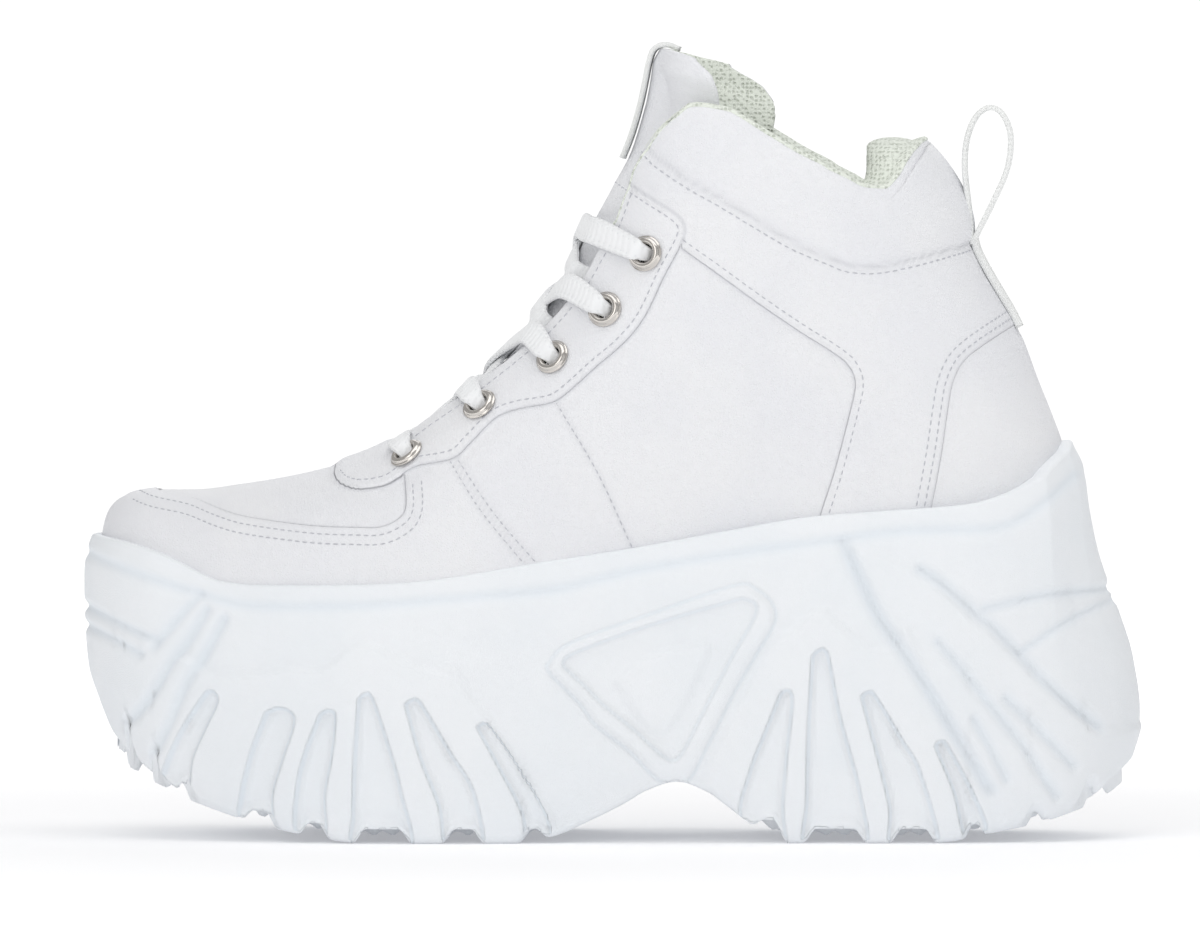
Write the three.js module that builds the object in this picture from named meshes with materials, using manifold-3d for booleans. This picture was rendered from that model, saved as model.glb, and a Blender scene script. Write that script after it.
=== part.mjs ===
// Platform sneaker: a padded ankle-high lace-up upper on a thick moulded sole with raised ribs and lugs.
//
// Millimetres, +Z up. The toe points along -X and the heel along +X. The shoe is for the left foot, so its
// outer (lateral) side is -Y and its inner (medial) side is +Y. It stands on the plane Z = 0.
// A "track" is a smooth curve through a short table. The upper is one surface, wallY(side, x, z), and every
// piece that meets it (sole cavity, insole, tongue, eyelets, laces) is worked out from that surface.
import * as THREE from "three";
import { mergeVertices } from "three/addons/utils/BufferGeometryUtils.js";
import Module from "manifold-3d";

const wasm = await Module();
wasm.setup();

const { clamp, lerp, smoothstep } = THREE.MathUtils;

// ---------------------------------------------------------------- driving dimensions
const GAP = 0.3; // clearance between pieces that touch
const WALL = 2.5; // leather, foam and lining together
const SOLE_TOE_X = -142;
const SOLE_HEEL_X = 142;
const HEEL_WIDEST_X = 45; // behind this the upper closes round the heel
const HEEL_LATERAL = 34.3; // half widths of the heel, measured from the Y = 0 plane
const HEEL_MEDIAL = 32.5;
const LEG_AXIS_X = [25, 52]; // the leg's axis is this stretch of the middle line
const COLLAR_HEIGHTS = [150, 165]; // where the wall starts to be measured from the leg's axis
const COLLAR_EDGE = 0.6; // share of the collar foam left at its bound edge
const COLLAR_ROLL = 7; // from the bound edge to full foam
const COLLAR_PAD = [16, 38]; // the foam thins out between these distances below the edge
const INSOLE_THICKNESS = 4;
const LAST_REACH = 33; // how far behind the ridge the tongue's sides may lie
const CREST_WIDTH = 14; // half the width over which the crest's normal turns into a wall's normal
const TONGUE_EDGE = 1.8; // the tongue's thickness at its sides
const LATERAL = -1;
const MEDIAL = 1;
const SIDES = [LATERAL, MEDIAL];
const SIDE_NAME = { [LATERAL]: "lateral", [MEDIAL]: "medial" };

const PAST_SIDES = 80; // half the width of a cutter that runs past both sides
const EYELET_SIDES = 9;
const EYELET_CLINCH = 0.2; // how far an eyelet's tail stands out inside the shoe
const PUNCH_LENGTH = 14; // the eyelet holes' cutter
const LACE_HUMP = [6, 15]; // the laces stand off the tongue's middle and come down between these
const SAMPLES = 400; // places tried along the throat for each eyelet
const HALVINGS = 30; // steps of each search by halving

// ---------------------------------------------------------------- tables
// Where the upper meets the sole's cavity floor.
const FEATHER = [
  { x: -138, z: 66 },
  { x: -130, z: 62.5 },
  { x: -120, z: 59.5 },
  { x: -108, z: 57.5 },
  { x: -90, z: 56.8 },
  { x: -60, z: 57.5 },
  { x: -30, z: 60.5 },
  { x: 0, z: 65.5 },
  { x: 30, z: 70.5 },
  { x: 56, z: 75 },
  { x: 80, z: 77 },
  { x: 122, z: 79.5 },
];

// The centre line over toe, vamp and tongue, as if the throat were closed.
const RIDGE = [
  { x: -138, z: 66 },
  { x: -137.8, z: 74 },
  { x: -137.2, z: 80 },
  { x: -136, z: 84.5 },
  { x: -134.5, z: 87.3 },
  { x: -131.5, z: 90.1 },
  { x: -128, z: 91.7 },
  { x: -122, z: 92.6 },
  { x: -112, z: 92.6 },
  { x: -98.8, z: 94.1 },
  { x: -82.8, z: 97.1 },
  { x: -66.8, z: 101.6 },
  { x: -55, z: 107.4 },
  { x: -47.6, z: 113.6 },
  { x: -39.9, z: 120.4 },
  { x: -31.6, z: 128 },
  { x: -23.3, z: 136 },
  { x: -15.9, z: 144.5 },
  { x: -9.5, z: 155 },
  { x: -5.5, z: 164 },
  { x: 0, z: 178 },
  { x: 3, z: 186 },
  { x: 6, z: 196 },
  { x: 9, z: 208 },
  { x: 12, z: 222 },
  { x: 20, z: 262 },
  { x: 30, z: 300 },
  { x: 60, z: 330 },
];

// The upper's outline at the feather line.
const LAST_PLAN = [
  { x: -138, lateral: 8, medial: 8 },
  { x: -134, lateral: -9, medial: 23 },
  { x: -126, lateral: -21, medial: 31.5 },
  { x: -114, lateral: -30, medial: 38 },
  { x: -100, lateral: -37, medial: 42 },
  { x: -85, lateral: -42, medial: 44.5 },
  { x: -70, lateral: -45, medial: 45.5 },
  { x: -55, lateral: -46.5, medial: 44.5 },
  { x: -40, lateral: -46, medial: 41 },
  { x: -20, lateral: -43, medial: 35.5 },
  { x: 0, lateral: -39, medial: 31.5 },
  { x: 20, lateral: -36, medial: 30 },
  { x: 40, lateral: -34.5, medial: 31 },
  { x: 60, lateral: -34, medial: 32 },
  { x: 80, lateral: -32.5, medial: 31.5 },
  { x: 100, lateral: -27, medial: 27 },
  { x: 120, lateral: 0, medial: 0 },
];

// Sideways place of the crest, and how square the arch over the foot is.
const CREST = [
  { x: -138, y: 8, square: 2.6 },
  { x: -115, y: 6, square: 2.5 },
  { x: -85, y: 3.5, square: 2.3 },
  { x: -55, y: 1, square: 1.95 },
  { x: -25, y: 0, square: 1.75 },
  { x: 10, y: 0, square: 1.75 },
  { x: 40, y: 0, square: 1.9 },
];

// The back of the heel from the feather line to the collar.
const HEEL_BACK = [
  { z: 76, x: 117.6 },
  { z: 85, x: 120 },
  { z: 95, x: 121 },
  { z: 104, x: 120.2 },
  { z: 111.5, x: 117.8 },
  { z: 122, x: 113.7 },
  { z: 134.7, x: 108.6 },
  { z: 143.2, x: 103.4 },
  { z: 152, x: 98.2 },
  { z: 159, x: 95.4 },
  { z: 165, x: 94.5 },
  { z: 172.3, x: 91.9 },
  { z: 178.7, x: 87.9 },
  { z: 184, x: 83 },
  { z: 186.3, x: 79.6 },
  { z: 188.5, x: 74 },
];

// How the leg part narrows above the heel, and how square its plan is at the back.
const ANKLE = [
  { z: 75, share: 1, square: 3.1 },
  { z: 100, share: 1.01, square: 3 },
  { z: 125, share: 0.97, square: 2.8 },
  { z: 150, share: 0.91, square: 2.5 },
  { z: 175, share: 0.91, square: 2.15 },
  { z: 200, share: 0.9, square: 2.1 },
];

// One row for each section of the upper, from the toe back to the heel quarter. A section is a slanted plane
// that runs from footX on the feather line to the top line at (topX, topZ). Closed sections reach the crest
// (open: 0), and open ones end at the throat or the collar (open: 1).
const SECTIONS = [
  { footX: -138, topX: -138, topZ: 66, open: 0 },
  { footX: -137.4, topX: -137.9, topZ: 70, open: 0 },
  { footX: -136, topX: -137.5, topZ: 77.5, open: 0 },
  { footX: -133.5, topX: -136.2, topZ: 84, open: 0 },
  { footX: -129.5, topX: -132.7, topZ: 89.2, open: 0 },
  { footX: -124, topX: -127, topZ: 92, open: 0 },
  { footX: -117, topX: -118, topZ: 92.6, open: 0 },
  { footX: -107, topX: -106, topZ: 93.2, open: 0 },
  { footX: -95, topX: -92, topZ: 95.4, open: 0 },
  { footX: -82, topX: -77, topZ: 98.7, open: 0 },
  { footX: -71, topX: -62, topZ: 103.5, open: 0 },
  { footX: -62, topX: -54.5, topZ: 106.4, open: 1 },
  { footX: -54, topX: -47.6, topZ: 111.3, open: 1 },
  { footX: -45, topX: -38, topZ: 118, open: 1 },
  { footX: -35, topX: -27, topZ: 126.6, open: 1 },
  { footX: -25, topX: -16, topZ: 136, open: 1 },
  { footX: -16, topX: -7.8, topZ: 145.5, open: 1 },
  { footX: -9, topX: -1.7, topZ: 156, open: 1 },
  { footX: -3, topX: 3.1, topZ: 165.5, open: 1 },
  { footX: 2, topX: 6.4, topZ: 175, open: 1 },
  { footX: 6, topX: 9.4, topZ: 183, open: 1 },
  { footX: 11, topX: 14.5, topZ: 190.3, open: 1 },
  { footX: 17, topX: 23.5, topZ: 195.6, open: 1 },
  { footX: 24, topX: 32, topZ: 194.6, open: 1 },
  { footX: 33, topX: 43, topZ: 188.4, open: 1 },
  { footX: 42, topX: 51, topZ: 183.6, open: 1 },
  { footX: 50, topX: 58, topZ: 180, open: 1 },
];

// The collar's bound edge round the heel, by the turn from the side (0) to the back (90).
const HEEL_COLLAR = [
  { turn: 15, z: 180 },
  { turn: 22, z: 177.4 },
  { turn: 29, z: 174.6 },
  { turn: 35, z: 174.5 },
  { turn: 42, z: 177.4 },
  { turn: 50, z: 181.4 },
  { turn: 60, z: 184.4 },
  { turn: 74, z: 186.2 },
  { turn: 90, z: 186.8 },
];

// Foam in the collar, by how far back its edge is.
const COLLAR_FOAM = [
  { x: 3, pad: 0 },
  { x: 7, pad: 1.5 },
  { x: 12, pad: 4 },
  { x: 22, pad: 5.5 },
  { x: 50, pad: 6 },
  { x: 66, pad: 8.5 },
  { x: 80, pad: 13 },
];

// The sole's widest outline.
const SOLE_PLAN = [
  { x: -142, lateral: 8, medial: 8 },
  { x: -138, lateral: -12, medial: 26 },
  { x: -129, lateral: -27, medial: 37 },
  { x: -115, lateral: -38, medial: 45 },
  { x: -98, lateral: -46, medial: 50 },
  { x: -78, lateral: -52, medial: 53 },
  { x: -58, lateral: -54.5, medial: 52.5 },
  { x: -36, lateral: -53.5, medial: 48 },
  { x: -10, lateral: -49.5, medial: 42.5 },
  { x: 18, lateral: -46.5, medial: 40.5 },
  { x: 46, lateral: -45.5, medial: 42 },
  { x: 74, lateral: -45, medial: 43.5 },
  { x: 100, lateral: -42, medial: 42 },
  { x: 122, lateral: -34, medial: 34 },
  { x: 136, lateral: -20, medial: 20 },
  { x: 142, lateral: 0, medial: 0 },
];

// Underside of the lugs: toe spring, forefoot flat, arch, heel flat and heel spring.
const GROUND = [
  { x: -142, z: 28 },
  { x: -135, z: 23 },
  { x: -127, z: 18.6 },
  { x: -119, z: 14.6 },
  { x: -108, z: 9.8 },
  { x: -91, z: 4.6 },
  { x: -78, z: 1.8 },
  { x: -66, z: 0.2 },
  { x: -60, z: 0 },
  { x: -22, z: 0 },
  { x: -13.5, z: 1.6 },
  { x: -3, z: 6 },
  { x: 6, z: 10.5 },
  { x: 12, z: 14 },
  { x: 20, z: 16.3 },
  { x: 28, z: 13.6 },
  { x: 33, z: 10 },
  { x: 41, z: 4 },
  { x: 48, z: 0 },
  { x: 88, z: 0 },
  { x: 104, z: 2.7 },
  { x: 114.5, z: 4.8 },
  { x: 125, z: 8 },
  { x: 134, z: 12.5 },
  { x: 142, z: 19 },
];

// The sole's upper edge, a lip that stands round the upper.
const LIP = [
  { x: -142, z: 79.5 },
  { x: -134, z: 78.2 },
  { x: -122.5, z: 75.2 },
  { x: -113, z: 71 },
  { x: -105, z: 68 },
  { x: -95, z: 67 },
  { x: -70, z: 67.2 },
  { x: -52.7, z: 67.8 },
  { x: -34.8, z: 69.9 },
  { x: -17.5, z: 72.8 },
  { x: 8, z: 76.8 },
  { x: 32, z: 81.3 },
  { x: 56.4, z: 85.4 },
  { x: 72, z: 86.6 },
  { x: 98, z: 88.6 },
  { x: 112, z: 92 },
  { x: 126, z: 98 },
  { x: 142, z: 105 },
];

// How far the sole's wall stands inside its widest outline, from its bottom edge (0) to its lip (1).
const SOLE_WALL = [
  { level: 0, toe: -7.5, side: -2.5, heel: -3.6 },
  { level: 0.17, toe: -4, side: 0, heel: 0 },
  { level: 0.34, toe: -1.2, side: -0.4, heel: -1.9 },
  { level: 0.5, toe: -0.4, side: -1, heel: -6.2 },
  { level: 0.66, toe: 0, side: -1.6, heel: -11 },
  { level: 0.8, toe: 0, side: -2.4, heel: -13.6 },
  { level: 0.93, toe: -0.4, side: -3.6, heel: -15.2 },
  { level: 1, toe: -1.8, side: -5, heel: -18 },
];

// Channels that cross the sole between its lugs. top is the channel's roof.
const CHANNELS = [
  { from: -132.6, to: -129.2, top: 28.8 },
  { from: -124.8, to: -121, top: 22.3 },
  { from: -116.4, to: -111, top: 15.8 },
  { from: -96.4, to: -87.6, top: 8.4 },
  { from: -80.2, to: -73.3, top: 5.4 },
  { from: -64.9, to: -51.1, top: 3.9 },
  { from: -40.9, to: -31.7, top: 3.9 },
  { from: -20.5, to: -14.5, top: 3.9 },
  { from: 40.5, to: 47.9, top: 6.2 },
  { from: 54.6, to: 69.1, top: 3.9 },
  { from: 77.5, to: 88.1, top: 3.9 },
  { from: 96.8, to: 101.7, top: 5 },
  { from: 113, to: 117.8, top: 8.2 },
  { from: 128, to: 132.7, top: 15.3 },
];

// Tapered slots in the side walls, between the raised ribs.
const SLOTS = [
  { topX: -104.4, topZ: 38.4, topWidth: 6, from: -118, to: -111, footZ: 13.8 },
  { topX: -84.8, topZ: 33.6, topWidth: 8, from: -96.4, to: -87.6, footZ: 7.1 },
  { topX: -72.3, topZ: 35.9, topWidth: 3.7, from: -80.2, to: -73.3, footZ: 4.3 },
  { topX: -62.3, topZ: 40.5, topWidth: 3.2, from: -64.9, to: -51.1, footZ: 2.8 },
  { topX: -50.1, topZ: 38.2, topWidth: 3.2, from: -40.9, to: -31.7, footZ: 2.8 },
  { topX: -30.2, topZ: 30.8, topWidth: 4.3, from: -20.5, to: -14.5, footZ: 2.8 },
  { topX: 48.1, topZ: 38.5, topWidth: 4, from: 40.5, to: 47.9, footZ: 4.8 },
  { topX: 57.5, topZ: 50.7, topWidth: 3.5, from: 54.6, to: 69.1, footZ: 2.8 },
  { topX: 70.7, topZ: 39.9, topWidth: 3.7, from: 77.5, to: 88.1, footZ: 2.8 },
  { topX: 90.5, topZ: 23.1, topWidth: 2, from: 96.8, to: 101.7, footZ: 3.8 },
];
const SLOT_DEPTH = 2.5;

// Eyelet centres from the toe up, seen from the side.
const EYELETS = [
  { x: -52.4, z: 101.8 },
  { x: -33, z: 115 },
  { x: -13.4, z: 128 },
  { x: 0.6, z: 141 },
  { x: 11.4, z: 156 },
];
const EYELET = { hole: 2.5, barrel: 3.1, flange: 4.7, rise: 1 };

// The lace is a flat braid. lift is its middle's height over what it lies on, clear the gap it leaves beside
// an eyelet, and foot and footY the place where it comes out from under the upper.
const LACE = { width: 8, thickness: 1.6, lift: 2.2, clear: 2, foot: 0.5, footY: 8, steps: 8 };

// The tongue along the ridge: half its width, its padding, and how deep its face lies under the closed
// last's surface at its middle and at its sides.
const TONGUE = [
  { x: -70, z: 100.6, half: 15, padding: 2.2, middle: 3.8, sides: 4.4 },
  { x: -62, z: 103.8, half: 16, padding: 2.4, middle: 3.8, sides: 4.2 },
  { x: -50, z: 111.5, half: 18, padding: 3, middle: 3.6, sides: 3.8 },
  { x: -39.9, z: 120.4, half: 21, padding: 4, middle: 3.2, sides: 3.6 },
  { x: -27, z: 132.4, half: 24, padding: 5, middle: 2.6, sides: 3.6 },
  { x: -15.9, z: 144.5, half: 26, padding: 6, middle: 0.9, sides: 3.7 },
  { x: -7.5, z: 159.4, half: 26.5, padding: 6.5, middle: 0.4, sides: 4.4 },
  { x: -1.5, z: 174.1, half: 27.5, padding: 6.5, middle: 2, sides: 7 },
  { x: 3, z: 186, half: 28, padding: 6.5, middle: 3.4, sides: 9 },
  { x: 6, z: 196, half: 28.5, padding: 6.5, middle: 3.4, sides: 9 },
  { x: 7.9, z: 203.6, half: 28, padding: 6, middle: 3, sides: 6.5 },
  { x: 9, z: 208, half: 27, padding: 5, middle: 2.6, sides: 4 },
  { x: 9.7, z: 211, half: 24, padding: 3, middle: 3.4, sides: 4 },
];

// The heel tape: a strap up the back of the heel, and the loop above it.
const TAPE = { width: 12, thickness: 1.8 };
const HEEL_STRAP = [
  { x: 110.7, z: 136.4 },
  { x: 108.5, z: 140.2 },
  { x: 102.9, z: 149.6 },
  { x: 98.9, z: 156.7 },
  { x: 97.2, z: 161 },
];
const HEEL_LOOP = [
  { x: 97, z: 158.6 },
  { x: 96.1, z: 168 },
  { x: 95, z: 178 },
  { x: 95.4, z: 186 },
  { x: 97.8, z: 192.4 },
  { x: 101.4, z: 195.1 },
  { x: 105, z: 193.4 },
  { x: 107.2, z: 187.6 },
  { x: 106.4, z: 179 },
  { x: 102.6, z: 170 },
  { x: 98.4, z: 161.6 },
  { x: 97.6, z: 159.4 },
];
const TONGUE_STRAP = [
  { x: 3.3, z: 181.6 },
  { x: 5.8, z: 188 },
  { x: 8.1, z: 196 },
  { x: 9.6, z: 203 },
  { x: 10.4, z: 207 },
  { x: 11.8, z: 210.7 },
  { x: 14.9, z: 212 },
  { x: 18.6, z: 210.7 },
];

// ---------------------------------------------------------------- tracks
// A curve through the rows of a table that never swings past a row.
function track(rows, across, value) {
  const xs = rows.map((row) => row[across]);
  const ys = rows.map((row) => row[value]);
  const slopes = xs.slice(1).map((x, i) => (ys[i + 1] - ys[i]) / (x - xs[i]));
  const tangents = xs.map((x, i) => {
    if (i === 0) return slopes[0];
    if (i === xs.length - 1) return slopes[i - 1];
    const [a, b] = [slopes[i - 1], slopes[i]];
    return a * b <= 0 ? 0 : (2 * a * b) / (a + b);
  });
  return (at) => {
    const x = clamp(at, xs[0], xs[xs.length - 1]);
    let i = 0;
    while (i < xs.length - 2 && x > xs[i + 1]) i++;
    const step = xs[i + 1] - xs[i];
    const t = (x - xs[i]) / step;
    const rise = (t * t * (3 - 2 * t)) * (ys[i + 1] - ys[i]);
    const bend = (t * (1 - t) * (1 - t)) * tangents[i] - (t * t * (1 - t)) * tangents[i + 1];
    return ys[i] + rise + bend * step;
  };
}

// A plan outline, followed by angle so that toe and heel are round.
function planTrack(rows, side) {
  const first = rows[0].x;
  const length = rows[rows.length - 1].x - first;
  const turn = (x) => Math.acos(clamp(1 - (2 * (x - first)) / length, -1, 1));
  const turned = rows.map((row) => ({ turn: turn(row.x), y: row[SIDE_NAME[side]] }));
  const y = track(turned, "turn", "y");
  return (x) => y(turn(x));
}

// A table whose rows are followed by number, from 0 to 1 along the whole table.
function alongRows(rows, value) {
  const numbered = rows.map((row, i) => ({ i, value: row[value] }));
  const at = track(numbered, "i", "value");
  return (share) => at(share * (rows.length - 1));
}

const featherZ = track(FEATHER, "x", "z");
const ridgeZ = track(RIDGE, "x", "z");
const crestY = track(CREST, "x", "y");
const archSquare = track(CREST, "x", "square");
const heelBackX = track(HEEL_BACK, "z", "x");
const ankleShare = track(ANKLE, "z", "share");
const ankleSquare = track(ANKLE, "z", "square");
const heelCollarZ = track(HEEL_COLLAR, "turn", "z");
const collarFoam = track(COLLAR_FOAM, "x", "pad");
const lastPlan = { [LATERAL]: planTrack(LAST_PLAN, LATERAL), [MEDIAL]: planTrack(LAST_PLAN, MEDIAL) };
const solePlan = { [LATERAL]: planTrack(SOLE_PLAN, LATERAL), [MEDIAL]: planTrack(SOLE_PLAN, MEDIAL) };
const groundZ = track(GROUND, "x", "z");
const lipZ = track(LIP, "x", "z");

// ---------------------------------------------------------------- the upper's surface
// Outer surface of the upper at (x, z) on one side: an arch over the foot that turns into a heel cup.
function wallY(side, x, z) {
  const foot = featherZ(x);
  const height = clamp((z - foot) / Math.max(ridgeZ(x) - foot, 0.01), 0, 1);
  const arch = Math.sqrt(1 - Math.pow(height, archSquare(x)));
  const crest = crestY(x);
  const front = crest + (lastPlan[side](x) - crest) * arch;
  const back = clamp((x - HEEL_WIDEST_X) / (heelBackX(z) - HEEL_WIDEST_X), 0, 1);
  const cup = Math.sqrt(1 - Math.pow(back, ankleSquare(z)));
  const heelHalf = side === LATERAL ? -HEEL_LATERAL : HEEL_MEDIAL;
  const rear = heelHalf * ankleShare(z) * cup;
  return lerp(front, rear, smoothstep(x, 22, 58));
}

// Outward normal of that surface.
function wallNormal(side, x, z) {
  const step = 0.5;
  const byX = (wallY(side, x + step, z) - wallY(side, x - step, z)) / (2 * step);
  const byZ = (wallY(side, x, z + step) - wallY(side, x, z - step)) / (2 * step);
  return new THREE.Vector3(-side * byX, side, -side * byZ).normalize();
}

// ---------------------------------------------------------------- solids
function toSolid(geometry) {
  const bare = new THREE.BufferGeometry().setAttribute("position", geometry.getAttribute("position").clone());
  if (geometry.index) bare.setIndex(geometry.index);
  const merged = mergeVertices(bare, 1e-4);
  const mesh = new wasm.Mesh({
    numProp: 3,
    vertProperties: new Float32Array(merged.attributes.position.array),
    triVerts: new Uint32Array(merged.index.array),
  });
  return new wasm.Manifold(mesh);
}

function toGeometry(solid) {
  const mesh = solid.getMesh();
  return new THREE.BufferGeometry()
    .setAttribute("position", new THREE.BufferAttribute(mesh.vertProperties, 3))
    .setIndex(new THREE.BufferAttribute(mesh.triVerts, 1));
}

// A closed geometry from points and triangles, turned so that its faces point out.
function closed(points, triangles) {
  const volume = triangles.reduce((sum, [a, b, c]) => {
    const cross = new THREE.Vector3().crossVectors(points[b], points[c]);
    return sum + points[a].dot(cross);
  }, 0);
  const index = triangles.flatMap(([a, b, c]) => (volume < 0 ? [a, c, b] : [a, b, c]));
  return new THREE.BufferGeometry().setFromPoints(points).setIndex(index);
}

function quad(list, a, b, c, d) {
  list.push([a, b, c], [a, c, d]);
}

// A closed skin over rings of points. The first half of each ring faces the second half, which runs back
// the other way, so an end is closed by a strip between the halves.
function skin(rings) {
  const count = rings[0].length;
  const points = rings.flat();
  const triangles = [];
  for (let r = 0; r < rings.length - 1; r++) {
    for (let i = 0; i < count; i++) {
      const next = (i + 1) % count;
      quad(triangles, r * count + i, r * count + next, (r + 1) * count + next, (r + 1) * count + i);
    }
  }
  const last = (rings.length - 1) * count;
  for (let i = 0; i < count / 2 - 1; i++) {
    const [a, b, c, d] = [i, i + 1, count - 2 - i, count - 1 - i];
    quad(triangles, d, c, b, a);
    quad(triangles, last + a, last + b, last + c, last + d);
  }
  return closed(points, triangles);
}

// A prism across the shoe, from an outline of [x, z] pairs.
function acrossPrism(outline, halfWidth) {
  const shape = new THREE.Shape(outline.map(([x, z]) => new THREE.Vector2(x, z)));
  const geometry = new THREE.ExtrudeGeometry(shape, { depth: 2 * halfWidth, bevelEnabled: false });
  return geometry.translate(0, 0, -halfWidth).rotateX(Math.PI / 2);
}

function mesh(name, geometry, material) {
  const made = new THREE.Mesh(geometry, material);
  made.name = name;
  return made;
}

// The heel cup at a height, by the turn from its side (0) to its back (90).
function cupPoint(side, turn, z) {
  const angle = THREE.MathUtils.degToRad(turn);
  const back = Math.pow(Math.sin(angle), 2 / ankleSquare(z));
  const half = (side === LATERAL ? -HEEL_LATERAL : HEEL_MEDIAL) * ankleShare(z);
  const x = lerp(HEEL_WIDEST_X, heelBackX(z), back);
  return new THREE.Vector3(x, turn > 89.99 ? 0 : half * Math.cos(angle), z);
}

function cupTurn(x, z) {
  const back = (x - HEEL_WIDEST_X) / (heelBackX(z) - HEEL_WIDEST_X);
  return THREE.MathUtils.radToDeg(Math.asin(Math.pow(back, ankleSquare(z) / 2)));
}

// ---------------------------------------------------------------- the upper's grid
const FRONT_STATIONS = 29; // sections from the toe to the heel quarter
const HEEL_STATIONS = 10; // sections round each side of the heel
const STATIONS = FRONT_STATIONS + HEEL_STATIONS;
const CLIMB = 8; // steps up each section
const section = {};
for (const key of ["footX", "topX", "topZ", "open"]) section[key] = alongRows(SECTIONS, key);
const stations = Array.from({ length: STATIONS + 1 }, (_, i) => i);
const isOpen = (i) => i > FRONT_STATIONS || section.open(i / FRONT_STATIONS) > 0.02;
const footTurn = cupTurn(section.footX(1), featherZ(section.footX(1)));
const topTurn = cupTurn(section.topX(1), section.topZ(1));

// The point at climb t (0 feather line, 1 top line) of section number i.
function upperPoint(side, i, t) {
  if (i > FRONT_STATIONS) {
    const round = (i - FRONT_STATIONS) / HEEL_STATIONS;
    const foot = lerp(footTurn, 90, round);
    const top = lerp(topTurn, 90, round);
    const footZ = featherZ(cupPoint(side, foot, HEEL_BACK[0].z).x);
    return cupPoint(side, lerp(foot, top, t), lerp(footZ, heelCollarZ(top), t));
  }
  const s = i / FRONT_STATIONS;
  const footX = section.footX(s);
  const climb = lerp(Math.sin((t * Math.PI) / 2), t, section.open(s));
  const x = lerp(footX, section.topX(s), climb);
  const z = lerp(featherZ(footX), section.topZ(s), climb);
  const atCrest = t === 1 && !isOpen(i);
  return new THREE.Vector3(x, atCrest ? crestY(x) : wallY(side, x, z), z);
}

// The collar's bound edge on both sides.
const collarEdge = SIDES.flatMap((side) => stations.map((i) => upperPoint(side, i, 1)))
  .filter((point) => collarFoam(point.x) > 0);

// Thickness of the upper: the wall, and foam that swells below the collar's bound edge and thins out again.
function upperThickness(point) {
  const near = collarEdge.reduce((best, at) => (at.distanceTo(point) < best.distanceTo(point) ? at : best));
  const away = near.distanceTo(point);
  const roll = lerp(COLLAR_EDGE, 1, smoothstep(away, 0, COLLAR_ROLL));
  return WALL + collarFoam(near.x) * roll * (1 - smoothstep(away, ...COLLAR_PAD));
}

// The outer surface as points and triangles, with the boundary that the closing faces need.
function upperSurface() {
  const points = [];
  const found = new Map();
  const add = (p) => {
    const key = [p.x, p.y, p.z].map((v) => v.toFixed(4)).join();
    if (!found.has(key)) found.set(key, points.push(p) - 1);
    return found.get(key);
  };
  const thickness = [];
  const index = SIDES.map((side) =>
    stations.map((i) =>
      Array.from({ length: CLIMB + 1 }, (_, j) => {
        const at = add(upperPoint(side, i, j / CLIMB));
        thickness[at] = upperThickness(points[at]);
        return at;
      }),
    ),
  );
  const triangles = [];
  index.forEach((grid, side) => {
    for (let i = 0; i < STATIONS; i++) {
      for (let j = 0; j < CLIMB; j++) {
        const corners = [grid[i][j], grid[i + 1][j], grid[i + 1][j + 1], grid[i][j + 1]];
        if (side === 1) corners.reverse();
        quad(triangles, ...corners);
      }
    }
  });
  return { points, triangles, index, thickness };
}

const whole = ([a, b, c]) => a !== b && b !== c && c !== a;

function vertexNormals(points, triangles) {
  const normals = points.map(() => new THREE.Vector3());
  for (const [a, b, c] of triangles) {
    const ab = points[b].clone().sub(points[a]);
    const ac = points[c].clone().sub(points[a]);
    const face = ab.cross(ac);
    for (const corner of [a, b, c]) normals[corner].add(face);
  }
  return normals.map((n) => n.normalize());
}

const surface = upperSurface();
surface.triangles = surface.triangles.filter(whole);
surface.normals = vertexNormals(surface.points, surface.triangles);

// Which way the wall is thick at a point: along the normal, and round the collar away from the leg's axis.
function thicknessDirection(point, normal) {
  const axisX = clamp(point.x, ...LEG_AXIS_X);
  const fromAxis = new THREE.Vector3(point.x - axisX, point.y, 0).normalize();
  return normal.clone().lerp(fromAxis, smoothstep(point.z, ...COLLAR_HEIGHTS)).normalize();
}

// The upper as a hollow shell: outer skin, inner skin, and the edges at the feather line, throat and collar.
function upperShell() {
  const { points, normals, thickness, index } = surface;
  const inner = points.map((p, i) => {
    return p.clone().addScaledVector(thicknessDirection(p, normals[i]), -thickness[i]);
  });
  const count = points.length;
  const triangles = [...surface.triangles];
  for (const [a, b, c] of surface.triangles) triangles.push([a + count, c + count, b + count]);
  index.forEach((grid, side) => {
    for (let i = 0; i < STATIONS; i++) {
      const edges = [[grid[i][0], grid[i + 1][0], side === 0]];
      if (isOpen(i) || isOpen(i + 1)) edges.push([grid[i][CLIMB], grid[i + 1][CLIMB], side === 1]);
      for (const [a, b, forward] of edges) {
        const corners = [a, a + count, b + count, b];
        quad(triangles, ...(forward ? corners : corners.reverse()));
      }
    }
  });
  return closed([...points, ...inner], triangles.filter(whole));
}

// The upper's outer form as a closed lump, grown by a given amount. foot moves its underside.
function upperLump(grow, foot) {
  const { points, normals, index } = surface;
  const grown = points.map((p, i) => p.clone().addScaledVector(normals[i], grow));
  const triangles = [...surface.triangles];
  const [lateral, medial] = index;
  for (let i = 0; i < STATIONS; i++) {
    quad(triangles, lateral[i][0], medial[i][0], medial[i + 1][0], lateral[i + 1][0]);
    quad(triangles, lateral[i][CLIMB], lateral[i + 1][CLIMB], medial[i + 1][CLIMB], medial[i][CLIMB]);
  }
  for (const low of new Set(index.flatMap((grid) => grid.map((column) => column[0])))) {
    grown[low].z = points[low].z + foot;
  }
  return toSolid(closed(grown, triangles.filter(whole)));
}

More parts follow.
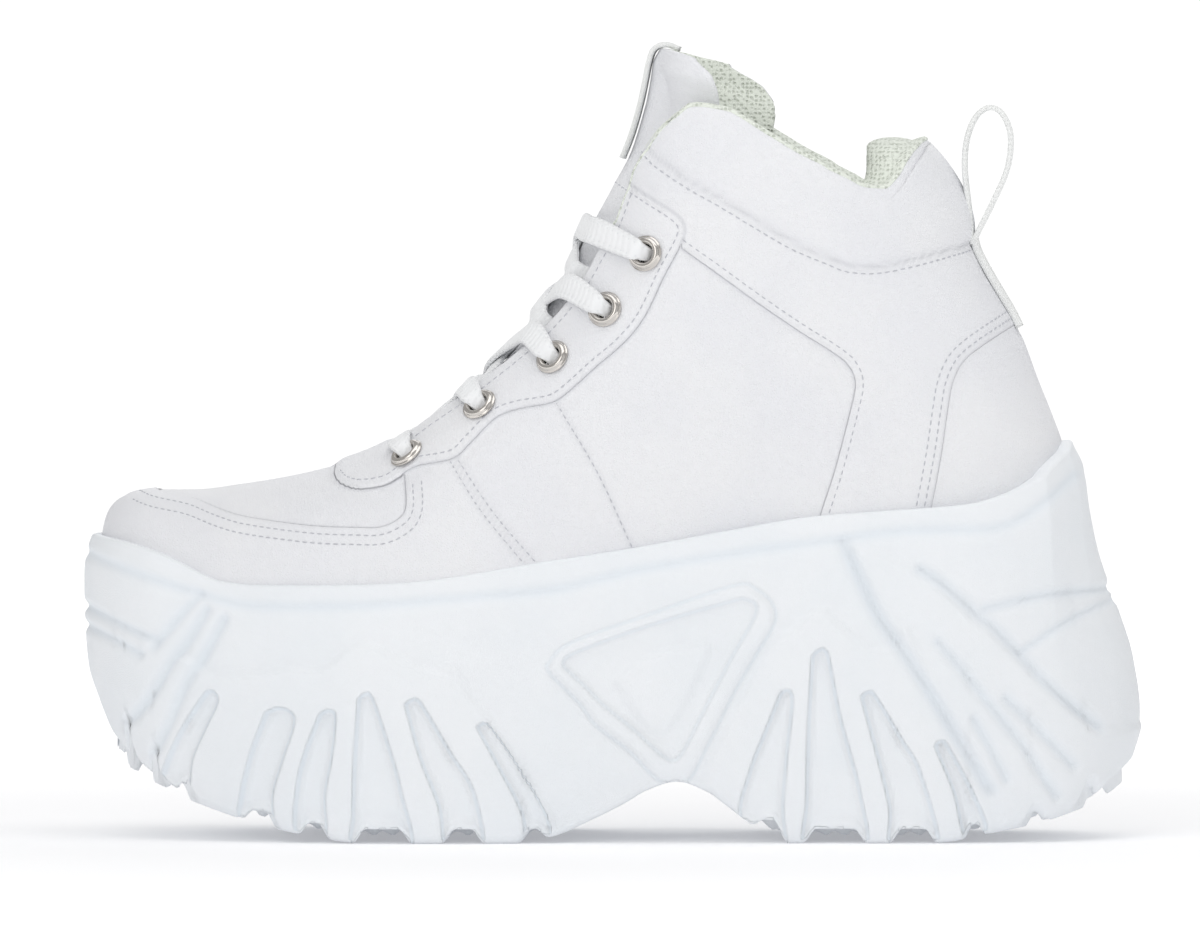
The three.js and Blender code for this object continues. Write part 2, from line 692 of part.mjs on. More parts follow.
// ---------------------------------------------------------------- materials
const finish = (color, roughness, metalness = 0) =>
  new THREE.MeshStandardMaterial({ color, roughness, metalness });
const materials = {
  sole: finish(0xe6edf2, 0.55),
  leather: finish(0xf4f4f6, 0.5),
  mesh: finish(0xe4e8df, 0.9),
  tape: finish(0xf1f2ee, 0.8),
  lace: finish(0xf0f1f0, 0.85),
  eyelet: finish(0xc9c2b8, 0.25, 1),
};

// ---------------------------------------------------------------- sole
const SOLE_COLUMNS = 32; // on each side

// One ring of the sole's wall at a level from its bottom edge (0) to its lip (1), set in by inset.
function soleRing(level, inset) {
  const share = { toe: 0, side: 0, heel: 0 };
  for (const zone of Object.keys(share)) share[zone] = track(SOLE_WALL, "level", zone)(level);
  const half = SOLE_COLUMNS;
  const shares = Array.from({ length: half }, (_, i) => (i + 0.5) / half);
  const xs = shares.map((s) => lerp(SOLE_TOE_X, SOLE_HEEL_X, (1 - Math.cos(s * Math.PI)) / 2));
  const rim = [
    ...xs.map((x) => new THREE.Vector3(x, solePlan[LATERAL](x), 0)),
    ...xs.toReversed().map((x) => new THREE.Vector3(x, solePlan[MEDIAL](x), 0)),
  ];
  return rim.map((p, i) => {
    const before = rim[(i + rim.length - 1) % rim.length];
    const after = rim[(i + 1) % rim.length];
    const outward = new THREE.Vector3(after.y - before.y, before.x - after.x, 0).normalize();
    const endOn = Math.pow(Math.abs(outward.x), 1.5);
    const set = lerp(share.side, outward.x < 0 ? share.toe : share.heel, endOn) - inset;
    const moved = p.clone().addScaledVector(outward, set);
    moved.z = lerp(groundZ(p.x), lipZ(p.x), level);
    return moved;
  });
}

function soleBody(inset) {
  return toSolid(skin(SOLE_WALL.map((row) => soleRing(row.level, inset))));
}

function channelPrism({ from, to, top }) {
  const slope = 0.6; // the channel's mouth is this much wider on each side than its roof
  const mouth = -2;
  const outline = [[from - slope, mouth], [to + slope, mouth], [to - slope, top], [from + slope, top]];
  return acrossPrism(outline, PAST_SIDES);
}

function slotPrism({ topX, topZ, topWidth, from, to, footZ }) {
  const radius = topWidth / 2;
  const cap = [30, 90, 150].map((degrees) => {
    const angle = THREE.MathUtils.degToRad(degrees);
    return [topX + radius * Math.cos(angle), topZ - radius + radius * Math.sin(angle)];
  });
  return acrossPrism([[from, footZ], [to, footZ], ...cap], PAST_SIDES);
}

function buildSole() {
  const slots = SLOTS.map((row) => toSolid(slotPrism(row)));
  const core = soleBody(SLOT_DEPTH);
  const recess = wasm.Manifold.union(slots).subtract(core);
  const channels = wasm.Manifold.union(CHANNELS.map((row) => toSolid(channelPrism(row))));
  const solid = soleBody(0).subtract(recess).subtract(channels).subtract(upperLump(GAP, -GAP));
  return toGeometry(solid);
}

// ---------------------------------------------------------------- insole
// A slab that follows the feather line, cut to the inside of the upper.
function buildInsole() {
  const xs = Array.from({ length: 15 }, (_, i) => lerp(SOLE_TOE_X, SOLE_HEEL_X, i / 14));
  const under = xs.map((x) => [x, featherZ(x)]);
  const over = xs.toReversed().map((x) => [x, featherZ(x) + INSOLE_THICKNESS]);
  const slab = toSolid(acrossPrism([...under, ...over], PAST_SIDES));
  return toGeometry(slab.intersect(upperLump(-(WALL + 2 * GAP), -1)));
}

// ---------------------------------------------------------------- places on the closed last
// Along the ridge by arc length, with the direction into the shoe at each place.
const ridgeLine = new THREE.CatmullRomCurve3(
  TONGUE.map(({ x, z }) => new THREE.Vector3(x, 0, z)),
  false,
  "centripetal",
);

function ridgeFrame(share) {
  const at = ridgeLine.getPointAt(share);
  const along = ridgeLine.getTangentAt(share);
  return { at, along, inward: new THREE.Vector3(along.z, 0, -along.x) };
}

// The place on the closed last's surface at sideways place y, in the plane across the ridge at this share.
function lastPlace(share, y) {
  const { at, inward } = ridgeFrame(share);
  const side = y < 0 ? LATERAL : MEDIAL;
  let [low, high] = [0, LAST_REACH];
  for (let i = 0; i < HALVINGS; i++) {
    const middle = (low + high) / 2;
    const p = at.clone().addScaledVector(inward, middle);
    if (Math.abs(wallY(side, p.x, p.z)) < Math.abs(y)) low = middle;
    else high = middle;
  }
  const p = at.clone().addScaledVector(inward, low);
  const turn = smoothstep(Math.abs(y), 0, CREST_WIDTH);
  const out = inward.clone().negate().lerp(wallNormal(side, p.x, p.z), turn).normalize();
  return { point: new THREE.Vector3(p.x, y, p.z), out };
}

// ---------------------------------------------------------------- tongue
const TONGUE_MIDDLE = [3, 11]; // the tongue's middle depth turns into its sides' depth between these
const TONGUE_SLANT = 0.5; // how far the sides' thickness leans outwards
const TONGUE_ROWS = 19;
const TONGUE_STEPS = 8; // across each face

// The rows of the tongue's table, followed by the share of the ridge's length.
const tongueTrack = {};
{
  const lengths = ridgeLine.getLengths(TONGUE.length - 1);
  const total = lengths[lengths.length - 1];
  for (const key of ["half", "padding", "middle", "sides"]) {
    const rows = TONGUE.map((row, i) => ({ share: lengths[i] / total, value: row[key] }));
    tongueTrack[key] = track(rows, "share", "value");
  }
}

function tongueDepth(share, y) {
  return lerp(tongueTrack.middle(share), tongueTrack.sides(share), smoothstep(Math.abs(y), ...TONGUE_MIDDLE));
}

function buildTongue() {
  const rings = Array.from({ length: TONGUE_ROWS }, (_, i) => {
    const share = i / (TONGUE_ROWS - 1);
    const { inward } = ridgeFrame(share);
    const outer = [];
    const inner = [];
    for (let k = 0; k <= TONGUE_STEPS; k++) {
      const across = lerp(-1, 1, k / TONGUE_STEPS);
      const y = tongueTrack.half(share) * Math.sin((across * Math.PI) / 2);
      const { point, out } = lastPlace(share, y);
      const face = point.addScaledVector(out, -tongueDepth(share, y));
      const thick = lerp(tongueTrack.padding(share), TONGUE_EDGE, Math.pow(Math.abs(across), 3));
      const slant = Math.abs(across) * TONGUE_SLANT;
      const back = inward.clone().multiplyScalar(thick * Math.sqrt(1 - slant * slant));
      back.y = -Math.sign(across) * thick * slant;
      outer.push(face);
      inner.push(face.clone().add(back));
    }
    return [...outer, ...inner.reverse()];
  });
  return skin(rings);
}

// ---------------------------------------------------------------- eyelets
function eyeletPlace(side, { x, z }) {
  const normal = wallNormal(side, x, z);
  return { at: new THREE.Vector3(x, wallY(side, x, z), z), normal };
}

function alongNormal(geometry, { at, normal }) {
  const turn = new THREE.Quaternion().setFromUnitVectors(new THREE.Vector3(0, 1, 0), normal);
  return geometry.applyQuaternion(turn).translate(at.x, at.y, at.z);
}

function eyeletGeometry(place) {
  const { hole, barrel, flange, rise } = EYELET;
  const under = 2 * GAP;
  const tail = -(WALL + EYELET_CLINCH);
  const profile = [
    [hole, tail],
    [barrel, tail],
    [barrel, under],
    [flange, under],
    [flange, under + rise * 0.4],
    [(hole + flange) / 2, under + rise],
    [hole, under + rise * 0.4],
    [hole, tail],
  ].map(([r, y]) => new THREE.Vector2(r, y));
  return alongNormal(new THREE.LatheGeometry(profile, EYELET_SIDES), place);
}

function eyeletHole(place) {
  const radius = EYELET.barrel + GAP;
  return alongNormal(new THREE.CylinderGeometry(radius, radius, PUNCH_LENGTH, EYELET_SIDES), place);
}

// ---------------------------------------------------------------- laces
// The share of the ridge whose plane holds each pair of eyelets.
const laceShares = EYELETS.map(({ x, z }) => {
  const off = (share) => {
    const { at, along } = ridgeFrame(share);
    return Math.abs((x - at.x) * along.x + (z - at.z) * along.z);
  };
  const shares = Array.from({ length: SAMPLES }, (_, i) => i / (SAMPLES - 1));
  return shares.reduce((best, share) => (off(share) < off(best) ? share : best));
});

// The sideways place beside eyelet number i where its lace clears the flange.
function besideEyelet(side, i) {
  const { x, z } = EYELETS[i];
  const centre = new THREE.Vector3(x, wallY(side, x, z), z);
  let y = centre.y;
  while (lastPlace(laceShares[i], y).point.distanceTo(centre) < EYELET.flange + LACE.clear) y -= side * 0.1;
  return y;
}

// A flat braid across the throat between two places, each given by its share of the ridge and its y.
// Its middle rises over the last's surface by rise(share, y).
function braid(from, to, rise) {
  const place = (u) => {
    const share = lerp(from.share, to.share, u);
    const y = lerp(from.y, to.y, u);
    const { point, out } = lastPlace(share, y);
    return { point: point.addScaledVector(out, rise(share, y)), out };
  };
  const rings = Array.from({ length: LACE.steps + 1 }, (_, i) => {
    const u = i / LACE.steps;
    const { point, out } = place(u);
    const ahead = place(Math.min(u + 0.02, 1)).point.sub(place(Math.max(u - 0.02, 0)).point).normalize();
    const wide = new THREE.Vector3().crossVectors(ahead, out).normalize().multiplyScalar(LACE.width / 2);
    const deep = new THREE.Vector3().crossVectors(wide, ahead).normalize().multiplyScalar(LACE.thickness / 2);
    const corner = (a, b) => point.clone().addScaledVector(wide, a).addScaledVector(deep, b);
    return [corner(-1, 1), corner(1, 1), corner(1, -1), corner(-1, -1)];
  });
  return toSolid(skin(rings));
}

// The bar lies over the foot of the throat, where the facings nearly meet.
function buildLaceBar() {
  const [first, second] = SIDES.map((side) => ({ share: laceShares[0], y: besideEyelet(side, 0) }));
  return toGeometry(braid(first, second, () => LACE.lift));
}

// Crossing number i joins the eyelets of pair i to the other side's throat edge below them, on the tongue.
function buildLaceCrossing(i) {
  const share = laceShares[i];
  const foot = lerp(laceShares[i - 1], share, LACE.foot);
  const rise = (at, y) => LACE.lift - tongueTrack.middle(at) * (1 - smoothstep(Math.abs(y), ...LACE_HUMP));
  const strips = SIDES.map((side) =>
    braid({ share, y: besideEyelet(side, i) }, { share: foot, y: -side * LACE.footY }, rise),
  );
  return toGeometry(strips[0].add(strips[1]));
}

// ---------------------------------------------------------------- tapes
// A flat tape of constant width across the shoe, along a path of rows in the middle plane.
function tape(rows, steps) {
  const points = rows.map(({ x, z }) => new THREE.Vector3(x, 0, z));
  const path = new THREE.CatmullRomCurve3(points, false, "centripetal");
  const rings = Array.from({ length: steps + 1 }, (_, i) => {
    const at = path.getPointAt(i / steps);
    const along = path.getTangentAt(i / steps);
    const out = new THREE.Vector3(-along.z, 0, along.x).multiplyScalar(TAPE.thickness / 2);
    const edge = new THREE.Vector3(0, TAPE.width / 2, 0);
    const corner = (a, b) => at.clone().addScaledVector(out, b).addScaledVector(edge, a);
    return [corner(-1, 1), corner(1, 1), corner(1, -1), corner(-1, -1)];
  });
  return toSolid(skin(rings));
}

// ---------------------------------------------------------------- assembly
const upperPlaces = SIDES.flatMap((side) => EYELETS.map((row) => eyeletPlace(side, row)));
const holes = wasm.Manifold.union(upperPlaces.map((place) => toSolid(eyeletHole(place))));
const upper = toSolid(upperShell()).subtract(holes);

const sneaker = new THREE.Group();
sneaker.add(mesh("sole", buildSole(), materials.sole));
sneaker.add(mesh("insole", buildInsole(), materials.mesh));
sneaker.add(mesh("upper", toGeometry(upper), materials.leather));
sneaker.add(mesh("tongue", buildTongue(), materials.leather));
for (const side of SIDES) {
  EYELETS.forEach((row, i) => {
    const name = `eyelet_${SIDE_NAME[side]}_${i + 1}`;
    sneaker.add(mesh(name, eyeletGeometry(eyeletPlace(side, row)), materials.eyelet));
  });
}
sneaker.add(mesh("lace_bar", buildLaceBar(), materials.lace));
for (let i = 1; i < EYELETS.length; i++) {
  sneaker.add(mesh(`lace_crossing_${i}`, buildLaceCrossing(i), materials.lace));
}
sneaker.add(mesh("heel_pull_loop", toGeometry(tape(HEEL_STRAP, 8).add(tape(HEEL_LOOP, 28))), materials.tape));
sneaker.add(mesh("tongue_pull_tape", toGeometry(tape(TONGUE_STRAP, 14)), materials.tape));

export default sneaker;
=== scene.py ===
# %% [markdown]
# A white platform sneaker. The engineering model gives the sizes of every part, and this lesson gives
# the parts their leather, cloth, rubber and metal. The first cell loads that model as a fixed frame:
# its parts are never moved, and new pieces are laid exactly where it says.

# %% Load the frame
import math

import bpy
import numpy as np
from mathutils import Matrix, Vector


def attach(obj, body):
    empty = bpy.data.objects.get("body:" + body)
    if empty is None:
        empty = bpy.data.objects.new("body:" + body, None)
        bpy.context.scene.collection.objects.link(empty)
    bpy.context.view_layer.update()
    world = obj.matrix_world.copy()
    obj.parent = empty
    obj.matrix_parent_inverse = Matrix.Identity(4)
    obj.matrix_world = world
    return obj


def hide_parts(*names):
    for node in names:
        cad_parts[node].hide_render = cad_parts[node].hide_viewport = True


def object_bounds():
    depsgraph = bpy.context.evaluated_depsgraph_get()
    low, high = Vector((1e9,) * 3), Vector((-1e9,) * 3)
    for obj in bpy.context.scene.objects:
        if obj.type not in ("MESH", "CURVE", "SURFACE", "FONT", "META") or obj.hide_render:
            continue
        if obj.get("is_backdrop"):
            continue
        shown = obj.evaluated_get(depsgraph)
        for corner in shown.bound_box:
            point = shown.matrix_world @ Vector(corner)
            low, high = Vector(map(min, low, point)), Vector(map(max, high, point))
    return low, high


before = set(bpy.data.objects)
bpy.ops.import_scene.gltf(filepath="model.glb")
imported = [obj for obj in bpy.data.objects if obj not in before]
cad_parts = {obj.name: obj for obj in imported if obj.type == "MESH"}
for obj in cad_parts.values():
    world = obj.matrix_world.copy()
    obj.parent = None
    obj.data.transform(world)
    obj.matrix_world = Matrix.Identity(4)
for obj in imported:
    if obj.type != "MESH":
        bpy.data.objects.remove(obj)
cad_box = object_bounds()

MM = 0.001  # the lesson works in millimetres and turns them into metres in the mesh
LATERAL, MEDIAL = -1, 1  # the outer side of this left shoe is -Y
SIDES = (LATERAL, MEDIAL)
print("frame", [round(v / MM) for v in cad_box[0]], [round(v / MM) for v in cad_box[1]])

# %% [markdown]
# Shoes are drawn as smooth lines over a last, the wooden foot inside every shoe. A smooth line through a
# short table of points is called a track here. It never swings past its points, so a seam stays where it
# was drawn. Tracks take whole arrays, because the leather below has tens of thousands of points.

# %% Smooth tracks
def lerp(a, b, share):
    return a + (b - a) * share


def smoothstep(value, low, high):
    share = np.clip((value - low) / (high - low), 0, 1)
    return share * share * (3 - 2 * share)


def track(rows, column=1):
    xs = np.array([row[0] for row in rows], float)
    ys = np.array([row[column] for row in rows], float)
    slopes = np.diff(ys) / np.diff(xs)
    a, b = slopes[:-1], slopes[1:]
    both = np.where(a * b > 0, a + b, 1)
    inner = np.where(a * b > 0, 2 * a * b / both, 0)
    tangents = np.concatenate([slopes[:1], inner, slopes[-1:]])

    def at(value):
        x = np.clip(value, xs[0], xs[-1])
        i = np.clip(np.searchsorted(xs, x) - 1, 0, len(xs) - 2)
        step = xs[i + 1] - xs[i]
        t = (x - xs[i]) / step
        bend = t * (1 - t) ** 2 * tangents[i] - t * t * (1 - t) * tangents[i + 1]
        return ys[i] + t * t * (3 - 2 * t) * (ys[i + 1] - ys[i]) + bend * step

    return at


def plan_track(rows, column):
    first, length = rows[0][0], rows[-1][0] - rows[0][0]

    def turn(x):
        return np.arccos(np.clip(1 - 2 * (np.asarray(x, float) - first) / length, -1, 1))

    around = track([(float(turn(row[0])), row[column]) for row in rows])
    return lambda x: around(turn(x))


print("tracks ready")

# %% [markdown]
# The last's own numbers: where the upper meets the sole (feather), the line over toe and tongue (ridge),
# the outline of the foot, the back of the heel, and how the leg narrows. Each row is a place and its
# values.

# %% The last
HEEL_WIDEST_X = 45
HEEL_HALF = {LATERAL: -34.3, MEDIAL: 32.5}
FEATHER = [(-138, 66), (-130, 62.5), (-120, 59.5), (-108, 57.5), (-90, 56.8), (-60, 57.5), (-30, 60.5),
           (0, 65.5), (30, 70.5), (56, 75), (80, 77), (122, 79.5)]
RIDGE = [(-138, 66), (-137.8, 74), (-137.2, 80), (-136, 84.5), (-134.5, 87.3), (-131.5, 90.1),
         (-128, 91.7), (-122, 92.6), (-112, 92.6), (-98.8, 94.1), (-82.8, 97.1), (-66.8, 101.6),
         (-55, 107.4), (-47.6, 113.6), (-39.9, 120.4), (-31.6, 128), (-23.3, 136), (-15.9, 144.5),
         (-9.5, 155), (-5.5, 164), (0, 178), (3, 186), (6, 196), (9, 208), (12, 222), (20, 262),
         (30, 300), (60, 330)]
LAST_PLAN = [(-138, 8, 8), (-134, -9, 23), (-126, -21, 31.5), (-114, -30, 38), (-100, -37, 42),
             (-85, -42, 44.5), (-70, -45, 45.5), (-55, -46.5, 44.5), (-40, -46, 41), (-20, -43, 35.5),
             (0, -39, 31.5), (20, -36, 30), (40, -34.5, 31), (60, -34, 32), (80, -32.5, 31.5),
             (100, -27, 27), (120, 0, 0)]
CREST = [(-138, 8, 2.6), (-115, 6, 2.5), (-85, 3.5, 2.3), (-55, 1, 1.95), (-25, 0, 1.75), (10, 0, 1.75),
         (40, 0, 1.9)]
HEEL_BACK = [(76, 117.6), (85, 120), (95, 121), (104, 120.2), (111.5, 117.8), (122, 113.7), (134.7, 108.6),
             (143.2, 103.4), (152, 98.2), (159, 95.4), (165, 94.5), (172.3, 91.9), (178.7, 87.9), (184, 83),
             (186.3, 79.6), (188.5, 74)]
ANKLE = [(75, 1, 3.1), (100, 1.01, 3), (125, 0.97, 2.8), (150, 0.91, 2.5), (175, 0.91, 2.15),
         (200, 0.9, 2.1)]

feather_z, ridge_z = track(FEATHER), track(RIDGE)
crest_y, arch_square = track(CREST), track(CREST, 2)
heel_back_x, ankle_share, ankle_square = track(HEEL_BACK), track(ANKLE), track(ANKLE, 2)
last_plan = {LATERAL: plan_track(LAST_PLAN, 1), MEDIAL: plan_track(LAST_PLAN, 2)}


def wall_y(side, x, z):
    """Sideways place of the upper's outer face: an arch over the foot that turns into a heel cup."""
    foot = feather_z(x)
    height = np.clip((z - foot) / np.maximum(ridge_z(x) - foot, 0.01), 0, 1)
    arch = np.sqrt(1 - height ** arch_square(x))
    front = lerp(crest_y(x), last_plan[side](x), arch)
    back = np.clip((x - HEEL_WIDEST_X) / (heel_back_x(z) - HEEL_WIDEST_X), 0, 1)
    rear = HEEL_HALF[side] * ankle_share(z) * np.sqrt(1 - back ** ankle_square(z))
    return lerp(front, rear, smoothstep(x, 22, 58))


def wall_normal(side, x, z, step=0.5):
    by_x = (wall_y(side, x + step, z) - wall_y(side, x - step, z)) / (2 * step)
    by_z = (wall_y(side, x, z + step) - wall_y(side, x, z - step)) / (2 * step)
    normal = np.stack([-side * by_x, np.full_like(by_x, side), -side * by_z], -1)
    return unit(normal)


def unit(vectors):
    return vectors / np.maximum(np.linalg.norm(vectors, axis=-1, keepdims=True), 1e-9)


def on_wall(side, x, z):
    return np.stack([x, wall_y(side, x, z), z], -1)


print("foot width at the ball", round(float(last_plan[MEDIAL](-60) - last_plan[LATERAL](-60))), "mm")

# %% [markdown]
# The upper is followed section by section, from the toe back to the heel quarter. A section is a slanted
# line from the feather to the top line. Ahead of the laces it is closed over the toes, and behind them
# it ends at the throat or the collar. Round the heel the sections turn about the leg instead.

# %% Sections of the upper
SECTIONS = [(-138, -138, 66, 0), (-137.4, -137.9, 70, 0), (-136, -137.5, 77.5, 0),
            (-133.5, -136.2, 84, 0), (-129.5, -132.7, 89.2, 0), (-124, -127, 92, 0),
            (-117, -118, 92.6, 0), (-107, -106, 93.2, 0), (-95, -92, 95.4, 0), (-82, -77, 98.7, 0),
            (-71, -62, 103.5, 0), (-62, -54.5, 106.4, 1), (-54, -47.6, 111.3, 1), (-45, -38, 118, 1),
            (-35, -27, 126.6, 1), (-25, -16, 136, 1), (-16, -7.8, 145.5, 1), (-9, -1.7, 156, 1),
            (-3, 3.1, 165.5, 1), (2, 6.4, 175, 1), (6, 9.4, 183, 1), (11, 14.5, 190.3, 1),
            (17, 23.5, 195.6, 1), (24, 32, 194.6, 1), (33, 43, 188.4, 1), (42, 51, 183.6, 1),
            (50, 58, 180, 1)]
HEEL_COLLAR = [(15, 180), (22, 177.4), (29, 174.6), (35, 174.5), (42, 177.4), (50, 181.4), (60, 184.4),
               (74, 186.2), (90, 186.8)]
COLLAR_FOAM = [(3, 0), (7, 1.5), (12, 4), (22, 5.5), (50, 6), (66, 8.5), (80, 13)]
WALL = 2.5
FRONT, ROUND = 32, 12  # sections along the foot, and round each side of the heel
ALMOST_CLOSED = 0.02  # a section opened less than this runs up to the ridge

numbered = [(i, *row) for i, row in enumerate(SECTIONS)]
section = [track(numbered, column) for column in (1, 2, 3, 4)]
heel_collar_z, collar_foam = track(HEEL_COLLAR), track(COLLAR_FOAM)


def cup_turn(x, z):
    back = np.clip((x - HEEL_WIDEST_X) / (heel_back_x(z) - HEEL_WIDEST_X), 0, 1)
    return np.degrees(np.arcsin(back ** (ankle_square(z) / 2)))


def section_values(i):
    return [value(np.minimum(i, FRONT) / FRONT * (len(SECTIONS) - 1)) for value in section]


def upper_point(side, i, t):
    """The point at climb t (0 feather line, 1 top line) of section i."""
    i, t = np.broadcast_arrays(np.asarray(i, float), np.asarray(t, float))
    foot_x, top_x, top_z, opened = section_values(i)
    top_z = lerp(ridge_z(top_x), top_z, opened)
    climb = lerp(np.sin(t * math.pi / 2), t, opened)
    x, z = lerp(foot_x, top_x, climb), lerp(feather_z(foot_x), top_z, climb)
    around = np.clip((i - FRONT) / ROUND, 0, 1)
    top_turn = lerp(cup_turn(top_x, top_z), 90, around)
    turn = lerp(cup_turn(x, z), 90, around)
    heel_z = lerp(lerp(feather_z(foot_x), 79, smoothstep(around, 0, 0.5)), heel_collar_z(top_turn), t)
    z = np.where(i > FRONT, heel_z, z)
    back = np.sin(np.radians(turn)) ** (2 / ankle_square(z))
    x = np.where(i > FRONT, lerp(HEEL_WIDEST_X, heel_back_x(z), back), x)
    cup = HEEL_HALF[side] * ankle_share(z) * np.cos(np.radians(turn))
    y = np.where((i > FRONT) & (x > 58), cup, wall_y(side, x, z))
    crest = (t >= 1) & (opened < ALMOST_CLOSED) & (i <= FRONT)
    y = np.where(crest, crest_y(x), np.where(turn * (i > FRONT) > 89.9, 0, y))
    return np.stack([x, y, z], -1)


print(len(SECTIONS), "drawn sections")

# %% [markdown]
# The leather and the lining are two faces of one padded wall. A fine net of points over the outer face is
# worked out once, with its normals, the padding under it and the length of every section. Both pieces are
# then read off this net by their distance from the top line.

# %% The net over the last
COLUMNS, CLIMB = 330, 150
COLLAR_EDGE, COLLAR_ROLL, COLLAR_PAD = 0.6, 7, (16, 38)
LEG_AXIS_X, COLLAR_HEIGHTS = (25, 52), (150, 165)

column_at = np.linspace(0, FRONT + ROUND, COLUMNS + 1)
climb_at = np.linspace(0, 1, CLIMB + 1)
opened = np.where(column_at > FRONT, 1, section_values(column_at)[3])
closed = opened < ALMOST_CLOSED  # the columns over the toes, where the two sides meet


def net_normals(outer):
    """Normals of the two sides together, so that they agree along the crest and the back of the heel."""
    total, found = {}, []
    for side in SIDES:
        points = outer[side]
        along = np.gradient(points, axis=0)
        up = np.gradient(points, axis=1)
        total[side] = unit(np.cross(along, up) * -side)
    for side in SIDES:
        normal = total[side].copy()
        normal[closed, -1, 1] = 0
        normal[-1, :, 1] = 0
        normal[0] = (-1, 0, 0)
        found.append(unit(normal))
    return dict(zip(SIDES, found))


net = {side: upper_point(side, column_at[:, None], climb_at[None, :]) for side in SIDES}
normals = net_normals(net)
edge = np.concatenate([net[side][:, -1] for side in SIDES])
edge = edge[collar_foam(edge[:, 0]) > 0]


def padding(points):
    flat = points.reshape(-1, 3)
    away, near = np.full(len(flat), 1e9), np.zeros(len(flat))
    for place in edge[::3]:
        distance = np.linalg.norm(flat - place, axis=1)
        near = np.where(distance < away, place[0], near)
        away = np.minimum(away, distance)
    roll = lerp(COLLAR_EDGE, 1, smoothstep(away, 0, COLLAR_ROLL))
    foam = collar_foam(near) * roll * (1 - smoothstep(away, *COLLAR_PAD))
    return (WALL + foam).reshape(points.shape[:2])


def inward(points, normal):
    x, y, z = np.moveaxis(points, -1, 0)
    from_axis = points - np.stack([np.clip(x, *LEG_AXIS_X), y * 0, z], -1)
    blend = smoothstep(z, *COLLAR_HEIGHTS)[..., None]
    return -unit(lerp(normal, unit(from_axis), blend))


thickness = {side: padding(net[side]) for side in SIDES}
depths = {side: net[side] + inward(net[side], normals[side]) * thickness[side][..., None] for side in SIDES}
print("net of", 2 * (COLUMNS + 1) * (CLIMB + 1), "points")

# %% [markdown]
# A wall profile runs up the outer face, over a round rim and down the inner face. Its place is measured
# from the rim: below zero it lies on the outer face, above it on the rim and then inside. The rim is
# about as high as the top line, so the shoe keeps its height.

# %% Profile of the wall
RIM_DROP = 0.45  # how far the rim's half round stands over its foot, as a share of its width


def column_profile(side, k, places):
    """Points and normals on column k of the wall, at distances from where the rim begins."""
    outer, inner, normal = net[side][k], depths[side][k], normals[side][k]
    steps = np.linalg.norm(np.diff(outer, axis=0), axis=1)
    below = np.concatenate([np.cumsum(steps[::-1])[::-1], [0]])  # from each row up to the top line
    width = float(np.linalg.norm(outer[-1] - inner[-1]))
    drop = RIM_DROP * width * float(opened[k])

    def read(values, down):
        at = np.interp(down + drop, below[::-1], np.arange(CLIMB, -1, -1))
        low = np.clip(at.astype(int), 0, CLIMB - 1)
        return lerp(values[low], values[low + 1], (at - low)[:, None])

    start, end = read(outer, np.zeros(1))[0], read(inner, np.zeros(1))[0]
    across = (start - end) / 2
    up = outer[-1] - start if drop > 1e-3 else np.zeros(3)
    up = up - unit(across) * (up @ unit(across))
    half_round = math.pi * width / 2
    angle = np.clip(places / half_round, 0, 1) * math.pi
    rim = (start + end) / 2 + np.cos(angle)[:, None] * across + np.sin(angle)[:, None] * up
    outside = read(outer, np.maximum(-places, 0))
    inside = read(inner, np.maximum(places - half_round, 0))
    points = np.where((places > half_round)[:, None], inside, rim)
    points = np.where((places < 0)[:, None], outside, points)
    out_normal = read(normal, np.maximum(-places, 0))
    rim_normal = np.cos(angle)[:, None] * unit(across) + np.sin(angle)[:, None] * unit(up)
    in_normal = -read(normal, np.maximum(places - half_round, 0))
    facing = np.where((places > half_round)[:, None], in_normal, rim_normal)
    facing = np.where((places < 0)[:, None], out_normal, facing)
    return points, unit(facing), half_round, below[0] - drop


print("rim of the heel", round(column_profile(LATERAL, COLUMNS, np.zeros(1))[2], 1), "mm round")

# %% [markdown]
# Every sheet here starts as Blender's flat grid, added at the right number of squares, and its corners
# are then laid over the last. Sheets that meet are welded by merging the corners that lie on each other.

# %% Helpers for modelling
def deselect():
    bpy.ops.object.select_all(action="DESELECT")


def take(piece):
    deselect()
    piece.select_set(True)
    bpy.context.view_layer.objects.active = piece
    return piece


def edit(piece, *steps):
    """Runs mesh operators on all of one piece in edit mode."""
    take(piece)
    bpy.ops.object.mode_set(mode="EDIT")
    bpy.ops.mesh.select_all(action="SELECT")
    for step in steps:
        step()
    bpy.ops.object.mode_set(mode="OBJECT")


def sheet(name, points):
    """A primitive grid with its corners at points[row, column], in millimetres."""
    rows, columns = points.shape[:2]
    deselect()
    bpy.ops.mesh.primitive_grid_add(x_subdivisions=columns - 1, y_subdivisions=rows - 1, size=1)
    piece = bpy.context.active_object
    piece.name = piece.data.name = name
    piece.data.vertices.foreach_set("co", (points.reshape(-1, 3) * MM).ravel())
    piece.data.update()
    return piece


def with_attributes(piece, **attributes):
    """Stores named values at a piece's corners, for its material to read."""
    for name, values in attributes.items():
        layer = piece.data.attributes.new(name, "FLOAT", "POINT")
        layer.data.foreach_set("value", np.asarray(values, np.float32).ravel())
    return piece


def weld(piece, distance=2e-5, recalculate=True):
    steps = [lambda: bpy.ops.mesh.remove_doubles(threshold=distance)]
    if recalculate:
        steps.append(lambda: bpy.ops.mesh.normals_make_consistent(inside=False))
    edit(piece, *steps)
    return piece


